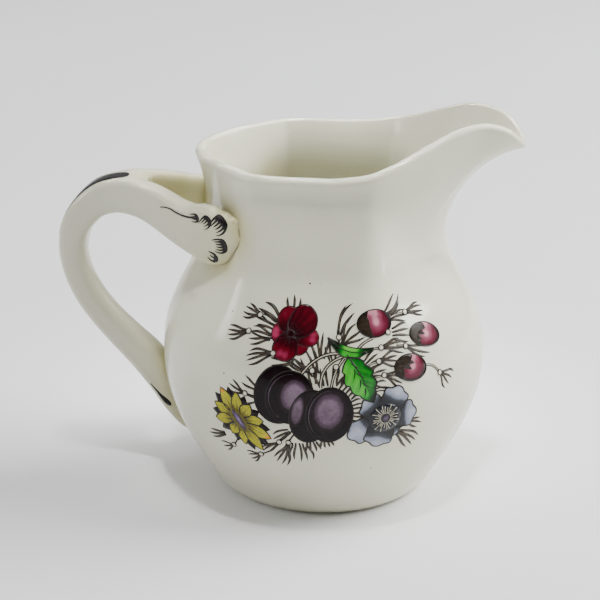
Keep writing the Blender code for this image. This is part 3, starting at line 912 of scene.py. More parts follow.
# Plums, the farthest first: degrees, height, half sizes, tilt, then the bloom's place and half sizes as
# shares of the plum's, its strength, and whether the plum's edge catches light.
PLUMS = [
    (-7.2, 39.6, 6.3, 7.7, -8, (0.1, 0.1), (0.3, 0.3), 0.1, False),
    (-3.0, 39.2, 6.3, 7.0, -14, (0.14, 0.12), (0.56, 0.62), 0.95, True),
    (4.0, 34.4, 5.2, 7.4, -10, (-0.66, 0.12), (0.3, 0.56), 0.85, False),
    (10.6, 34.9, 6.0, 7.6, -6, (-0.04, 0.12), (0.66, 0.68), 0.9, True),
]


def paint_plums():
    plums, lines, rims = Paint(), Paint(), Paint()
    for i, (degrees, z, half_u, half_v, tilt, bloom, size, strength, lit) in enumerate(PLUMS):
        spot = spot_on_bowl(degrees, z, tilt)

        def tone(u, v, share, half_u=half_u, half_v=half_v, bloom=bloom, size=size, strength=strength):
            away = np.hypot((u / half_u - bloom[0]) / size[0], (v / half_v - bloom[1]) / size[1])
            glow = 1 - ease((away - 0.55) / 0.75)
            light = 0.1 * ease(v / half_v + 0.4) * (1 - ease((share - 0.85) / 0.15))
            return 0.07 + light + glow * 0.76 * strength

        lift = layer(i)
        outline = oval(half_u, half_v, 56)
        plums.fill(spot, outline, tone, lift, rings=18)
        lines.line(spot, outline, PLUM_OUTLINE, lift + 0.006, closed=True, tone=0.0)
        if lit:
            turn = np.linspace(math.radians(100), math.radians(255), 18)
            inner = np.stack([half_u * 0.86 * np.cos(turn), half_v * 0.88 * np.sin(turn)], -1)
            rims.line(spot, inner, spindle(18, 0.22, 0.5, 0.1), lift + 0.006, tone=0.7)
    plums.piece("plum_skins", PLUM, "plum_enamel", ["plums"])
    rims.piece("plum_rim_lights", PLUM, "plum_enamel")
    return lines


# Petals of the yellow flower: direction in degrees, length, width, and how orange its tip is.
YELLOW_PETALS = [
    (125, 9.6, 3.5, 0.55), (96, 7.8, 3.2, 0.0), (56, 6.0, 3.5, 0.0), (8, 7.0, 3.3, 0.0),
    (-24, 9.6, 3.4, 0.6), (-53, 10.0, 3.2, 0.1), (-82, 7.4, 2.8, 0.0), (-120, 5.4, 3.2, 0.0),
    (-172, 7.6, 3.2, 0.0), (156, 8.2, 3.0, 0.1),
]


def paint_yellow_flower():
    petals, sepals, lines, disc, seeds = Paint(), Paint(), Paint(), Paint(), Paint()
    for i, (angle, length, _, _) in enumerate(YELLOW_PETALS):
        following = YELLOW_PETALS[(i + 1) % len(YELLOW_PETALS)]
        between = (following[0] - angle + 180) % 360 - 180
        reach = 0.46 * (length + following[1])
        outline = pointed_petal(1.5, reach * 1.16 - 1.5, 3.3)
        spot = spot_on_bowl(*YELLOW_PLACE, angle + between * 0.5)
        sepals.fill(spot, outline, fade(0.3, -0.16), PRINT_LIFT, (reach * 0.5, 0.0), rings=3)
    for i, (angle, length, width, warm) in enumerate(YELLOW_PETALS):
        spot = spot_on_bowl(*YELLOW_PLACE, angle)
        outline = pointed_petal(1.2, length - 1.2, width, belly=1.1)

        def tone(u, v, share, length=length, width=width, warm=warm):
            along = (u - 1.2) / (length - 1.2)
            vein = 0.24 * np.exp(-(v / 0.2) ** 2)
            side = 0.16 * np.exp(-((np.abs(v) - 0.3 * width) / 0.2) ** 2)
            body = 0.1 + 0.52 * ease(along * 1.7) - (vein + side) * (1 - ease(along * 1.4 - 0.5))
            return body + warm * ease((along - 0.6) * 2.4) - 0.22 * ease((share - 0.78) / 0.22)

        lift = layer(i % 3)
        petals.fill(spot, outline, tone, lift, (length * 0.52, 0.0), rings=7)
        lines.line(spot, outline, YELLOW_OUTLINE, lift + 0.006, closed=True, tone=0.05)
    spot = spot_on_bowl(*YELLOW_PLACE, -55)
    disc.fill(spot, oval(3.7, 1.9, 28), fade(0.02, 0.2), layer(3), rings=4)
    seeds.fill(spot, oval(3.2, 0.75, 24), fade(0.8, -0.7), layer(4), rings=4)
    petals.piece("yellow_petals", YELLOW, "yellow_enamel", ["yellow_flower"])
    sepals.piece("yellow_flower_sepals", PLUM, "plum_enamel")
    disc.piece("yellow_flower_disc", YELLOW, "yellow_enamel")
    seeds.piece("yellow_flower_seeds", PURPLE, "plum_enamel")
    return lines


# Petals of the blue flower: direction in degrees, length and width.
BLUE_PETALS = [
    (-58, 6.2, 6.8), (-154, 10.4, 8.4), (-104, 8.2, 9.6), (2, 8.6, 8.8), (136, 7.8, 8.2), (64, 8.7, 8.6),
]
STAMENS = 27


def paint_blue_flower():
    petals, lines, centre, stamens, eye = Paint(), Paint(), Paint(), Paint(), Paint()
    for i, (angle, length, width) in enumerate(BLUE_PETALS):
        spot = spot_on_bowl(*BLUE_PLACE, angle)
        outline = round_petal(-0.3, length + 0.3, width, 7, 0.07, 0.62, 84)

        def tone(u, v, share, length=length, width=width):
            shade = 0.68 * ease((u - 4.3) / 3.0)
            fold = 0.14 * (0.5 + 0.5 * np.cos(v * 9.0 / width)) * ease((u - 3.4) / 2.0)
            edge = 0.2 * ease((np.abs(v) / (0.5 * width) - 0.72) / 0.2) * (1 - ease(u / length))
            return 0.05 + shade + fold - edge - 0.12 * ease((share - 0.86) / 0.14)

        lift = layer(i)
        petals.fill(spot, outline, tone, lift, (length * 0.56, 0.0), rings=11)
        lines.line(spot, outline, BLUE_OUTLINE, lift + 0.008, closed=True, tone=0.05)
    spot = spot_on_bowl(*BLUE_PLACE)
    lift = layer(len(BLUE_PETALS))
    centre.fill(spot, oval(4.3, 3.9, 28), lambda u, v, share: 0.02 + 0.12 * share ** 2, lift, rings=4)
    for i in range(STAMENS):
        angle = 360 / STAMENS * i
        reach = 3.2 + 0.75 * math.sin(i * 2.7)
        path = rotated(arc_path((1.25, 0.0), (reach, 0.0), 0.07 * math.sin(i * 1.9), 5), angle)
        stamens.line(spot, path, [0.1, 0.12, 0.11, 0.14, 0.24], lift + LAYER_LIFT, tone=0.3)
    petals.piece("blue_petals", BLUE_GREY, "blue_grey_enamel", ["blue_flower"])
    centre.piece("blue_flower_shadow", BLUE_GREY, "blue_grey_enamel")
    stamens.piece("blue_flower_stamens", PALE, "glaze")
    eye.fill(spot, oval(0.8, 0.8, 16), fade(0.3, -0.25), lift + 2 * LAYER_LIFT, rings=3)
    eye.piece("blue_flower_eye", PURPLE, "plum_enamel")
    return lines


def saw_leaf(length, width, teeth):
    """A leaf along +u from its stalk at 0, with a toothed edge."""
    outline = []
    for side in (1, -1):
        found = []
        for i in range(teeth * 4 + 1):
            t = i / (teeth * 4)
            half = math.sin(math.pi * t ** 0.8) ** 0.8 * width / 2
            half *= (0.86, 0.97, 1.05, 1.08)[i % 4] if 0.12 < t < 0.93 else 1.0
            found.append((t * length, side * half))
        outline += found if side == 1 else found[::-1][1:-1]
    return np.array(outline)


# Each leaf's stalk and tip, as degrees and height; the small leaf sags in between.
LARGE_LEAF = ((17.2, 49.6), (25.4, 37.2))
SMALL_LEAF = ((9.8, 53.9), (27.0, 51.4))
SMALL_LEAF_SAG = 2.3
# Veins of the large leaf: where each starts, as a share of its length, and on which side.
LEAF_VEINS = [(0.12, 1), (0.24, -1), (0.32, 1), (0.46, -1), (0.54, 1), (0.66, -1)]


def paint_large_leaf(lines):
    large = Paint()
    start, end = LARGE_LEAF
    run = flat_between(start, end)
    length = float(np.linalg.norm(run))
    spot = spot_on_bowl(*start, math.degrees(math.atan2(run[1], run[0])))
    outline = saw_leaf(length, 7.2, 4)

    def large_tone(u, v, share):
        half = 0.72 - 0.3 * ease(v / 0.8 + 0.5)
        vein = 0.1 * (0.5 + 0.5 * np.cos((u - np.abs(v) * 1.1) * 2 * math.pi / 2.7))
        tip = 0.7 * ease((u / length - 0.74) / 0.24)
        return half + vein - tip - 0.34 * ease((share - 0.72) / 0.28) * ease(v / 0.8 + 0.5)

    large.fill(spot, outline, large_tone, layer(8), (length * 0.48, 0.0), rings=14)
    lift = LINE_LIFT + 0.035
    lines.line(spot, outline, LEAF_OUTLINE, lift, closed=True, tone=0.0)
    rib = arc_path((-0.6, 0.0), (length * 0.8, 0.2), 0.04, 9)
    lines.line(spot, rib, spindle(9, 0.42, 0.2, 0.8), lift, 0.0)
    for t, side in LEAF_VEINS:
        vein = arc_path((t * length, 0.0), ((t + 0.2) * length, side * 2.0), -0.08 * side, 6)
        lines.line(spot, vein, spindle(6, 0.34, 0.2, 0.8), lift, 0.0)
    large.piece("large_leaf_paint", GREEN, "green_enamel", ["large_leaf"])


def paint_small_leaf(lines):
    small = Paint()
    start, end = SMALL_LEAF
    run = flat_between(start, end)
    length = float(np.linalg.norm(run))
    flat = spot_on_bowl(*start, math.degrees(math.atan2(run[1], run[0])))

    def bent(points, lift):
        sag = SMALL_LEAF_SAG * np.sin(math.pi * points[:, 0] / length)
        return flat(points - np.stack([0 * sag, sag], -1), lift)

    outline = pointed_petal(0.0, length, 2.8, 20)

    def small_tone(u, v, share):
        along = u / length
        bright = ease((along - 0.26) / 0.14) * (1 - ease((along - 0.62) / 0.16))
        return 0.04 + 0.7 * bright + 0.22 * bright * ease(v / 1.2) - 0.1 * ease((share - 0.8) / 0.2)

    small.fill(bent, outline, small_tone, layer(3), (length * 0.5, 0.0), rings=8)
    lines.line(bent, outline, SMALL_LEAF_OUTLINE, LINE_LIFT, closed=True, tone=0.0)
    lines.line(bent, arc_path((0.4, 0.1), (length * 0.85, -0.2), 0.03), 0.22, LINE_LIFT, 0.0)
    lines.line(bent, arc_path((0.2, -0.2), (2.4, 0.2), 0.1, 6), spindle(6, 1.0, 0.4, 0.6), LINE_LIFT, 0.05)
    small.piece("small_leaf_paint", GREEN, "green_enamel", ["small_leaf"])


def paint_leaves():
    lines = Paint()
    paint_large_leaf(lines)
    paint_small_leaf(lines)
    return lines


# Buds: name, degrees, height, half sizes, tilt, and how far the skin's red runs up from below.
BUDS = [
    ("left_bud", 28.4, 56.9, 4.5, 3.5, 6, 0.0), ("right_bud", 49.8, 51.9, 5.1, 3.0, -14, 0.15),
    ("lower_bud", 40.3, 45.3, 4.8, 3.4, -12, 0.45),
]
# The front edge of each bud's calyx from below to above, in half sizes of the bud.
CALYX_TEETH = {
    "left_bud": [
        (-0.24, -0.9), (-0.26, -0.6), (-0.3, -0.3), (-0.3, 0.0), (-0.28, 0.3), (-0.32, 0.5),
        (-0.46, 0.62), (-0.36, 0.82),
    ],
    "right_bud": [
        (-0.4, -0.8), (-0.54, -0.5), (-0.2, -0.44), (-0.42, -0.1), (0.04, 0.0), (-0.2, 0.3),
        (0.1, 0.5), (0.0, 0.86),
    ],
    "lower_bud": [
        (-0.5, -0.82), (-0.62, -0.5), (-0.3, -0.46), (-0.46, -0.1), (0.1, -0.14), (-0.1, 0.2),
        (0.22, 0.36), (0.0, 0.56), (0.08, 0.88),
    ],
}
# The calyx's rear edge follows the bud between these angles.
CALYX_ARC = (102, 256)


def paint_buds():
    lines, calyx, veins = Paint(), Paint(), Paint()
    for name, degrees, z, half_u, half_v, tilt, red in BUDS:
        skin = Paint()
        spot = spot_on_bowl(degrees, z, tilt)
        outline = oval(half_u, half_v, 44)

        def tone(u, v, share, half_u=half_u, half_v=half_v, red=red):
            along, up = u / half_u, v / half_v
            glow = np.exp(-((along - 0.1) / 0.3) ** 2 - ((up - 0.1) / 0.5) ** 2)
            top = 0.36 * ease((up - 0.3) / 0.6) * (1 - ease((along - 0.35) / 0.5))
            low = 0.16 * red * ease((0.2 - up) / 0.9)
            rim = 0.26 * ease((share - 0.66) / 0.34) * (1 - ease((up - 0.45) / 0.4) * (along < 0.3))
            return 0.33 + 0.42 * glow + top - low - rim - 0.08 * ease((along - 0.4) / 0.5)

        skin.fill(spot, outline, tone, layer(2), rings=12)
        skin.piece(name + "_skin", BUD_RED, "bud_enamel", [name])
        lines.line(spot, outline, BUD_OUTLINE, LINE_LIFT, closed=True, tone=0.15)
        turn = np.radians(np.linspace(*CALYX_ARC, 24))
        rim = np.stack([half_u * np.cos(turn), half_v * np.sin(turn)], -1)
        edge = np.vstack([rim, np.array(CALYX_TEETH[name]) * (half_u, half_v)])
        calyx.fill(spot, edge, fade(0.48, -0.24), layer(4), (-0.5 * half_u, 0.0), rings=6)
        for height in (-0.4 * half_v, 0.05 * half_v, 0.5 * half_v):
            vein = arc_path((-0.86 * half_u, height * 0.6), (-0.42 * half_u, height), 0.08, 6)
            veins.line(spot, vein, spindle(6, 0.2, 0.4, 0.5), layer(5), 0.5)
    calyx.piece("bud_calyxes", PRINT, "brown_black_enamel")
    veins.piece("bud_calyx_veins", PRINT, "brown_black_enamel")
    return lines


# ---------------------------------------------------------------- the spray: printed stems, rings and fronds

# Fronds: degrees and height of the root, heading and spread of the tines in degrees, their number,
# length, bow, the width of each tine, and the gap between their roots.
FRONDS = [
    (-4.6, 59.4, 94, 14, 3, 4.0, -0.03, 0.62, 1.4),
    (-10.0, 57.0, 148, 12, 2, 7.6, -0.13, 0.85, 0.9), (-17.8, 57.9, 170, 40, 4, 5.2, 0.06, 0.6, 0.3),
    (-11.4, 55.7, 163, 12, 3, 5.6, -0.06, 0.62, 0.9), (-21.6, 53.8, 193, 30, 4, 5.9, 0.05, 0.62, 0.3),
    (-12.0, 53.2, 182, 34, 4, 6.4, -0.06, 0.62, 0.5), (-10.8, 49.6, 198, 24, 4, 7.2, -0.06, 0.62, 0.3),
    (-2.2, 48.0, 174, 24, 3, 6.2, -0.05, 0.7, 0.5), (4.0, 46.2, 157, 14, 2, 6.2, 0.05, 0.8, 0.6),
    (-14.4, 40.5, 154, 16, 2, 5.0, 0.04, 0.6, 1.0), (-19.6, 38.8, 160, 34, 3, 4.8, 0.05, 0.6, 0.3),
    (-14.4, 37.6, 184, 20, 2, 3.8, 0.04, 0.55, 1.0),
    (5.8, 45.4, 119, 18, 3, 7.0, -0.05, 0.62, 0.9), (7.4, 49.2, 92, 30, 4, 6.8, 0.04, 0.62, 0.6),
    (4.6, 43.0, 106, 26, 3, 4.6, 0.03, 0.55, 1.0), (10.8, 42.8, 92, 34, 6, 5.2, 0.02, 0.6, 1.1),
    (11.6, 48.8, 96, 26, 3, 4.6, 0.04, 0.55, 0.7),
    (14.3, 54.6, 62, 14, 3, 8.8, 0.14, 0.66, 0.5), (15.4, 52.2, 44, 44, 4, 6.8, 0.1, 0.6, 0.4),
    (33.2, 58.6, 36, 16, 3, 7.0, -0.12, 0.66, 0.5), (43.8, 57.8, -4, 28, 4, 6.6, 0.05, 0.6, 0.3),
    (34.6, 57.3, -2, 20, 3, 6.0, 0.08, 0.6, 0.5), (34.8, 53.9, -6, 24, 4, 5.4, 0.05, 0.62, 0.9),
    (30.2, 51.3, -3, 32, 4, 6.2, 0.06, 0.62, 0.3), (40.1, 50.5, -25, 18, 3, 7.6, -0.05, 0.62, 0.4),
    (28.7, 48.2, 0, 38, 4, 5.0, 0.06, 0.6, 0.3), (23.4, 47.4, 30, 22, 4, 4.6, 0.06, 0.55, 0.8),
    (24.8, 45.3, 10, 26, 3, 4.4, 0.05, 0.55, 0.7), (30.2, 44.6, -24, 36, 4, 5.6, 0.05, 0.62, 0.3),
    (25.6, 42.6, -8, 20, 2, 4.4, 0.1, 0.5, 0.6), (53.3, 41.8, -42, 52, 4, 5.2, 0.03, 0.6, 0.3),
    (-26.6, 22.3, 203, 34, 3, 4.2, 0.05, 0.52, 0.3), (-15.2, 21.3, 206, 48, 4, 4.0, 0.05, 0.52, 0.3),
    (-7.4, 25.9, 217, 16, 3, 5.6, -0.06, 0.62, 0.3), (-3.8, 25.9, 246, 28, 4, 7.8, 0.06, 0.62, 0.3),
    (0.2, 26.6, 272, 34, 5, 6.4, 0.03, 0.6, 0.9), (-29.0, 25.4, 196, 14, 3, 6.6, 0.04, 0.66, 0.5),
    (-3.0, 30.0, 214, 14, 3, 5.4, -0.05, 0.6, 0.6), (4.6, 27.2, 280, 30, 4, 3.4, 0.02, 0.6, 0.8),
    (9.4, 27.9, 284, 30, 4, 2.6, 0.0, 0.6, 0.7),
    (38.6, 30.8, -14, 28, 3, 5.0, 0.04, 0.6, 0.4), (34.4, 28.8, -38, 24, 4, 8.8, 0.06, 0.7, 0.4),
    (15.4, 41.0, 46, 10, 6, 3.8, 0.03, 0.55, 1.05), (17.4, 36.0, 3, 26, 6, 3.8, 0.0, 0.5, 0.95),
]
# Little rings on the stems, as degrees and height.
RINGS = [
    (-18.0, 57.8), (-21.1, 53.9), (-10.1, 49.7), (14.2, 54.1), (43.1, 57.9), (33.2, 54.5),
    (29.6, 51.3), (39.5, 50.6), (28.1, 48.2), (29.7, 44.7), (4.5, 46.5), (12.8, 47.4),
    (-7.0, 26.4), (-3.6, 26.6), (-19.1, 38.8), (-26.1, 22.5), (-14.8, 21.5), (52.8, 42.0),
]
RING_RADIUS = 0.66
RING_LINE = 0.24
# Stems with dark edges and a pale middle, between places given as degrees and height, then bow and width.
PALE_STEMS = [
    ((16.8, 50.3), (1.2, 45.4), -0.17, 0.95), ((15.6, 49.8), (7.8, 42.0), -0.2, 0.9),
    ((15.8, 49.4), (11.3, 42.2), -0.08, 0.8), ((19.6, 50.2), (27.0, 53.6), 0.1, 0.8),
    ((21.0, 49.4), (28.9, 51.2), 0.1, 0.7), ((22.6, 46.8), (27.4, 48.1), 0.06, 0.6),
    ((24.6, 43.8), (29.0, 44.6), 0.06, 0.6), ((46.0, 45.0), (52.2, 42.4), 0.14, 0.7),
    ((35.2, 57.6), (42.4, 57.8), 0.06, 0.6), ((35.8, 51.3), (38.8, 50.8), 0.0, 0.55),
]
# Thin dark stems in the same way.
THIN_STEMS = [
    ((-17.3, 57.7), (-10.4, 55.8), -0.06, 0.5), ((-20.4, 54.0), (-11.4, 53.0), -0.08, 0.55),
    ((-9.4, 49.7), (-3.6, 48.6), 0.0, 0.5), ((-3.2, 48.2), (4.4, 45.8), -0.04, 0.55),
    ((-18.4, 38.7), (-14.8, 38.4), 0.0, 0.5), ((14.1, 53.4), (14.6, 50.8), 0.0, 0.5),
    ((25.2, 41.0), (33.0, 40.8), 0.14, 0.4), ((25.6, 40.2), (30.4, 40.4), 0.16, 0.35),
    ((-2.0, 30.4), (-6.4, 26.9), 0.04, 0.5), ((-0.8, 30.0), (-3.3, 27.2), 0.0, 0.5),
    ((-14.1, 21.7), (-7.6, 25.9), -0.08, 0.45), ((-25.5, 22.8), (-22.8, 25.8), 0.0, 0.4),
]
# A frond's tines have turned to run side by side at 1 / TINE_TURN of their length.
TINE_TURN = 1.25
TINE_WIDTH = 1.14
TINE_POINTS = 10


def tine(count, width):
    """Widths of a frond's tine: full from near its root to past the middle, then tapered."""
    t = np.linspace(0, 1, count)
    return width * np.interp(t, [0, 0.2, 0.62, 0.86, 1], [0.62, 0.9, 1.0, 0.62, 0.14])


def paint_fronds():
    fronds, rings, lights, pale, stems = Paint(), Paint(), Paint(), Paint(), Paint()
    for degrees, z, heading, spread, count, length, bow, width, gap in FRONDS:
        spot = spot_on_bowl(degrees, z, heading)
        for i in range(count):
            place = (i - (count - 1) / 2) / max(count - 1, 1)
            reach = length * (1 - 0.3 * abs(place) * (1 + 0.5 * math.sin(7 * i + degrees)))
            t = np.linspace(0, 1, TINE_POINTS)
            aside = reach * math.sin(math.radians(place * spread)) * ease(TINE_TURN * t)
            lean = bow * (1 if place <= 0 else 0.5) + 0.03 * math.sin(3 * i + z)
            bowed = reach * lean * 4 * t * (1 - t)
            path = np.stack([reach * t, place * gap * (count - 1) + aside + bowed], -1)
            lift = PRINT_LIFT + 0.003 * (i % 3)
            widths = tine(TINE_POINTS, TINE_WIDTH * width)
            fronds.line(spot, path, widths, lift, tone=0.12 + 0.1 * (i % 3))
            lights.line(spot, path[1:8], spindle(7, width * 0.36), lift + 0.004, tone=0.75)
    for degrees, z in RINGS:
        spot = spot_on_bowl(degrees, z)
        circle = oval(RING_RADIUS, RING_RADIUS * 1.05, 16)
        rings.line(spot, circle, RING_LINE, LINE_LIFT + 0.03, closed=True, tone=0.2)
        inside = oval(RING_RADIUS * 0.9, RING_RADIUS * 0.95, 16)
        pale.fill(spot, inside, fade(0.8, 0.0), LINE_LIFT, rings=2)
    for start, end, bow, width in THIN_STEMS:
        path = arc_path((0.0, 0.0), flat_between(start, end), bow, 13)
        stems.line(spot_on_bowl(*start), path, width, PRINT_LIFT + 0.012, tone=0.25)
    for start, end, bow, width in PALE_STEMS:
        spot = spot_on_bowl(*start)
        path = arc_path((0.0, 0.0), flat_between(start, end), bow, 17)
        stems.line(spot, path, width, PRINT_LIFT + 0.02, tone=0.15)
        pale.line(spot, path, width * 0.26, PRINT_LIFT + 0.035, tone=0.0)
    fronds.piece("printed_fronds", PRINT, "brown_black_enamel")
    rings.piece("printed_rings", PRINT, "brown_black_enamel")
    lights.piece("frond_lights", PRINT, "brown_black_enamel")
    stems.piece("printed_stems", PRINT, "brown_black_enamel")
    pale.piece("pale_stems_and_rings", PALE, "glaze")


def paint_spray():
    motifs = {
        "red_flower_lines": paint_red_flower, "plum_lines": paint_plums,
        "yellow_flower_lines": paint_yellow_flower, "blue_flower_lines": paint_blue_flower,
        "leaf_lines": paint_leaves, "bud_lines": paint_buds,
    }
    for name, painter in motifs.items():
        painter().piece(name, PRINT, "brown_black_enamel")
    paint_fronds()


# ---------------------------------------------------------------- brushwork on the handle, and kiln specks

def spot_on_side(tree, x, z, turn=0.0):
    """A flat frame on the handle's -Y side at x and z, reached by looking along +Y."""
    c, s = math.cos(math.radians(turn)), math.sin(math.radians(turn))

    def spot(flat, lift):
        found = []
        for u, v in flat:
            start = Vector((x + u * c - v * s, -80.0, z + u * s + v * c))
            hit, normal, _, _ = tree.ray_cast(start, Vector((0, 1, 0)))
            if hit is None:
                hit, normal, _, _ = tree.find_nearest(start)
            found.append(hit + normal * lift)
        return np.array(found)

    return spot


def spot_on_spine(tree):
    """A flat frame along the strap's outer side: u runs along it, v round it towards BRUSH_SIDE."""
    line = dense(STRAP)
    ahead = unit(np.gradient(line[:, :3], axis=0))
    length = length_along(line[:, :3])

    def spot(flat, lift):
        found = []
        for u, v in flat:
            centre = np.array([np.interp(u, length, line[:, axis]) for axis in range(3)])
            direction = np.array([np.interp(u, length, ahead[:, axis]) for axis in range(3)])
            outward = unit(np.cross(direction, BRUSH_SIDE))
            start = Vector(centre + outward * 30 + np.cross(outward, direction) * v)
            hit, normal, _, _ = tree.ray_cast(start, Vector(-outward))
            if hit is None:
                hit, normal, _, _ = tree.find_nearest(start)
            found.append(hit + normal * lift)
        return np.array(found)

    return spot


# Tufts on the fan: x and z of the cap, the bristles' heading, the cap's half length and depth, the
# bristles' number and length.
TUFTS = [
    (-30.3, 77.0, 204, 1.0, 0.7, 4, 2.0), (-27.0, 77.5, 236, 1.3, 0.8, 5, 3.0),
    (-22.9, 78.0, 232, 2.0, 1.2, 6, 4.2), (-22.3, 71.9, 200, 1.8, 1.1, 6, 3.2),
    (-24.8, 67.7, 172, 1.1, 0.9, 3, 2.2),
]
# The two strokes on the strap: distance along it and the way round, then distance and width.
SPINE_PATH = [(5.0, 2.6), (14.0, 2.6), (27.0, 1.6)]
SPINE_WIDTH = [(5.0, 1.7), (5.8, 4.0), (9.0, 4.4), (14.0, 4.0), (20.0, 3.1), (27.0, 0.6)]
TAIL_PATH = [(73.6, 3.0), (81.8, 3.3)]
TAIL_WIDTH = [(73.6, 0.25), (76.6, 0.5), (79.6, 1.0), (81.0, 0.9), (81.8, 0.3)]
# The painter's brush came from this side of the jug.
BRUSH_SIDE = unit(np.array([0.15, -0.92, 0.36]))
STROKE_LIFT = 0.07
TUFT_LIFT = 0.065
TUFT_CAP_LIFT = 0.06
# x and z where the thin stroke before the tufts starts.
WHISK_PLACE = (-41.4, 76.9)


def paint_tuft(tufts, spot, half, deep, count, length):
    """A solid rounded cap at 0, 0 with tapered bristles along +u, the outer ones longest."""
    turn = np.linspace(math.radians(90), math.radians(270), 15)
    cap = np.stack([deep * np.cos(turn), half * np.sin(turn)], -1)
    front = np.linspace(-1, 1, 9)
    edge = np.stack([0.3 * length * (1 - 0.4 * (1 - front * front)), 0.92 * front * half], -1)
    tufts.fill(spot, np.vstack([cap, edge]), fade(0.1, 0.1), TUFT_CAP_LIFT, rings=4)
    for i in range(count):
        place = 2 * i / (count - 1) - 1
        reach = length * (0.72 + 0.28 * abs(place) ** 1.5)
        root = (0.0, 0.84 * half * place)
        tip = (reach, half * place * (0.95 - 0.2 * abs(place)) - 0.3)
        path = arc_path(root, tip, 0.1 * place + 0.05, 9)
        taper = np.interp(np.linspace(0, 1, 9), [0, 0.4, 0.75, 1], [1.0, 0.78, 0.5, 0.18])
        tufts.line(spot, path, 2 * half / count * taper, TUFT_LIFT, tone=0.2)


def paint_stroke(spot, path, widths, count, across):
    """One broad stroke along the strap, read at count places between the ends of its path."""
    stroke = Paint()
    along = np.linspace(path[0][0], path[-1][0], count)
    round_way = np.interp(along, *zip(*path))
    width = np.interp(along, *zip(*widths))
    stroke.line(spot, np.stack([along, round_way], -1), width, STROKE_LIFT, 0.2, across=across)
    return stroke


def paint_handle(tree):
    spot = spot_on_spine(tree)
    spine = paint_stroke(spot, SPINE_PATH, SPINE_WIDTH, 36, across=9)
    spine.piece("spine_brush_stroke", BRUSH, "brown_black_enamel", ["spine_stroke"])
    tail = paint_stroke(spot, TAIL_PATH, TAIL_WIDTH, 14, across=7)
    tail.piece("tail_brush_stroke", BRUSH, "brown_black_enamel", ["tail_stroke"])
    tufts = Paint()
    for x, z, heading, half, deep, count, length in TUFTS:
        paint_tuft(tufts, spot_on_side(tree, x, z, heading), half, deep, count, length)
    thin = arc_path((0.0, 0.0), (3.4, 0.1), 0.06, 6)
    thick = arc_path((3.9, -0.1), (11.4, 0.4), -0.1, 8)
    width = np.interp(np.arange(14), [0, 6, 13], [0.25, 0.4, 0.62])
    spot = spot_on_side(tree, *WHISK_PLACE)
    tufts.line(spot, np.vstack([thin, thick]), width, TUFT_CAP_LIFT, tone=0.3)
    tufts.piece("fan_brush_strokes", BRUSH, "brown_black_enamel")


# Specks in the glaze: degrees, height and size.
SPECKS = [
    (1.7, 65.7, 0.3), (-30.2, 57.4, 0.22), (-28.1, 42.6, 0.22), (27.7, 17.5, 0.2),
    (118.0, 38.0, 0.22), (196.0, 24.0, 0.2), (250.0, 50.0, 0.18),
]


def paint_specks():
    specks = Paint()
    for degrees, z, size in SPECKS:
        spot = spot_on_bowl(degrees, z)
        specks.fill(spot, oval(size, size * 0.8, 10), fade(0.6, 0.0), PRINT_LIFT, rings=2)
    specks.piece("kiln_specks", PRINT, "brown_black_enamel")


# ---------------------------------------------------------------- floor, light and camera

CAMERA_DISTANCE = 600.0
# In degrees: round from -Y towards +X, above the level, and about the view's own line.
CAMERA_AZIMUTH = 8.9
CAMERA_ELEVATION = 21.0
CAMERA_ROLL = 0.45
CAMERA_LENS = 135.9
SENSOR_WIDTH = 36.0
# The point that the camera looks at: how far to the right of the bowl's axis, and its height.
CAMERA_AIM = (-6.3, 49.6)
# The floor's half size in metres.
FLOOR_REACH = 6.0
FLOOR_DARK = linear(244, 244, 246)
FLOOR_LIGHT = linear(247, 247, 249)
# The room's light is dim on the decorated side, where the viewer stands, and full past the jug.
WORLD_COLOUR = (0.96, 0.97, 1.0, 1.0)
WORLD_FRONT = 0.05
WORLD_BACK = 0.46
WORLD_DIRECTIONS = (-0.9, 0.1)
# Soft boxes: name, place and size in metres, and power in watts; each faces the jug's middle.
LIGHTS = [
    ("key", (0.8, 0.3, 0.75), (0.8, 0.8), 24.0), ("top", (0.0, 0.25, 1.3), (0.8, 0.8), 8.0),
    ("fill", (-1.0, -0.25, 0.7), (0.9, 0.7), 2.6),
    ("left_card", (-0.6, -0.17, 0.25), (0.16, 0.15), 0.45),
    ("lamp", (0.6, -0.06, 0.045), (0.05, 0.05), 0.08),
]
JUG_MIDDLE = (0.0, 0.0, 0.05)
# A narrow beam down into the mouth; its spread is in degrees.
MOUTH_LIGHT = ("mouth", (0.04, -0.12, 0.68), (0.1, 0.1), 0.05)
MOUTH_AIM = (0.012, 0.014, 0.09)
MOUTH_SPREAD = 13.0


def make_camera():
    a, e, roll = (math.radians(value) for value in (CAMERA_AZIMUTH, CAMERA_ELEVATION, CAMERA_ROLL))
    back = np.array([math.sin(a) * math.cos(e), -math.cos(a) * math.cos(e), math.sin(e)])
    right = np.array([math.cos(a), math.sin(a), 0.0])
    up = np.cross(back, right)
    across = math.cos(roll) * right + math.sin(roll) * up
    upright = math.cos(roll) * up - math.sin(roll) * right
    place = CAMERA_AIM[0] * right + np.array([AXIS_X, 0, CAMERA_AIM[1]]) + CAMERA_DISTANCE * back
    data = bpy.data.cameras.new("camera")
    data.sensor_width = SENSOR_WIDTH
    data.lens = CAMERA_LENS
    data.clip_start = 0.01
    data.clip_end = 50.0
    camera = bpy.data.objects.new("camera", data)
    columns = np.array([across, upright, back]).T
    camera.matrix_world = Matrix.Translation(Vector(place * MM)) @ Matrix(columns.tolist()).to_4x4()
    bpy.context.scene.collection.objects.link(camera)
    bpy.context.scene.camera = camera


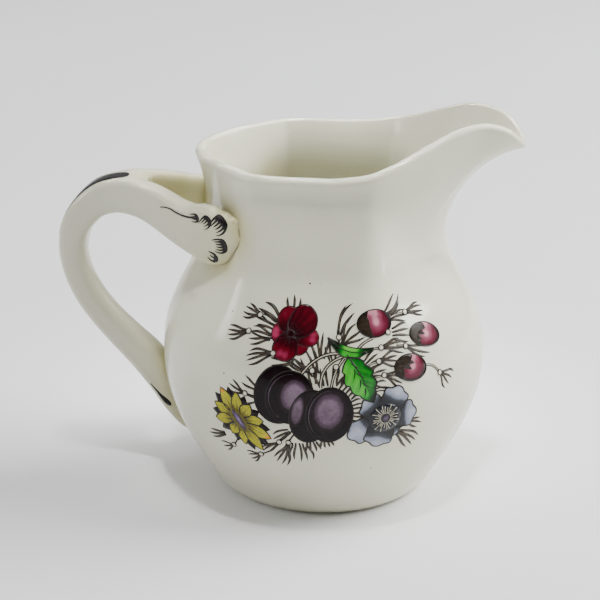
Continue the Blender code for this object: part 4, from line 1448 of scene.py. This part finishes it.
def make_floor():
    nodes = Nodes("pale_floor", 0.55)
    nodes.colour(nodes.ramp(nodes.noise(6, 3.0), [(0.3, FLOOR_DARK), (0.7, FLOOR_LIGHT)]))
    mesh = bpy.data.meshes.new("floor")
    corners = [(x * FLOOR_REACH, y * FLOOR_REACH, 0) for x, y in ((-1, -1), (1, -1), (1, 1), (-1, 1))]
    mesh.from_pydata(corners, [], [(0, 1, 2, 3)])
    mesh.materials.append(nodes.material)
    floor = bpy.data.objects.new("floor", mesh)
    bpy.context.scene.collection.objects.link(floor)


def soft_box(name, place, size, power, aim=JUG_MIDDLE, spread=180.0):
    """A rectangular area light that faces its aim."""
    data = bpy.data.lights.new(name, "AREA")
    data.shape = "RECTANGLE"
    data.size, data.size_y = size
    data.energy = power
    data.spread = math.radians(spread)
    light = bpy.data.objects.new(name, data)
    light.location = place
    light.rotation_euler = (Vector(place) - Vector(aim)).to_track_quat("Z", "Y").to_euler()
    bpy.context.scene.collection.objects.link(light)


def make_world():
    world = bpy.data.worlds.new("studio")
    world.use_nodes = True
    nodes, links = world.node_tree.nodes, world.node_tree.links
    background = nodes["Background"]
    background.inputs["Color"].default_value = WORLD_COLOUR
    direction = nodes.new("ShaderNodeTexCoord")
    parts = nodes.new("ShaderNodeSeparateXYZ")
    dimmer = nodes.new("ShaderNodeMapRange")
    dimmer.inputs["From Min"].default_value, dimmer.inputs["From Max"].default_value = WORLD_DIRECTIONS
    dimmer.inputs["To Min"].default_value = WORLD_FRONT
    dimmer.inputs["To Max"].default_value = WORLD_BACK
    links.new(direction.outputs["Generated"], parts.inputs["Vector"])
    links.new(parts.outputs["Y"], dimmer.inputs["Value"])
    links.new(dimmer.outputs["Result"], background.inputs["Strength"])
    bpy.context.scene.world = world


def make_lights():
    for light in LIGHTS:
        soft_box(*light)
    soft_box(*MOUTH_LIGHT, aim=MOUTH_AIM, spread=MOUTH_SPREAD)


# ---------------------------------------------------------------- all together

def main():
    make_camera()
    handle_tree = make_pottery()
    paint_spray()
    paint_handle(handle_tree)
    paint_specks()
    make_floor()
    make_world()
    make_lights()


main()
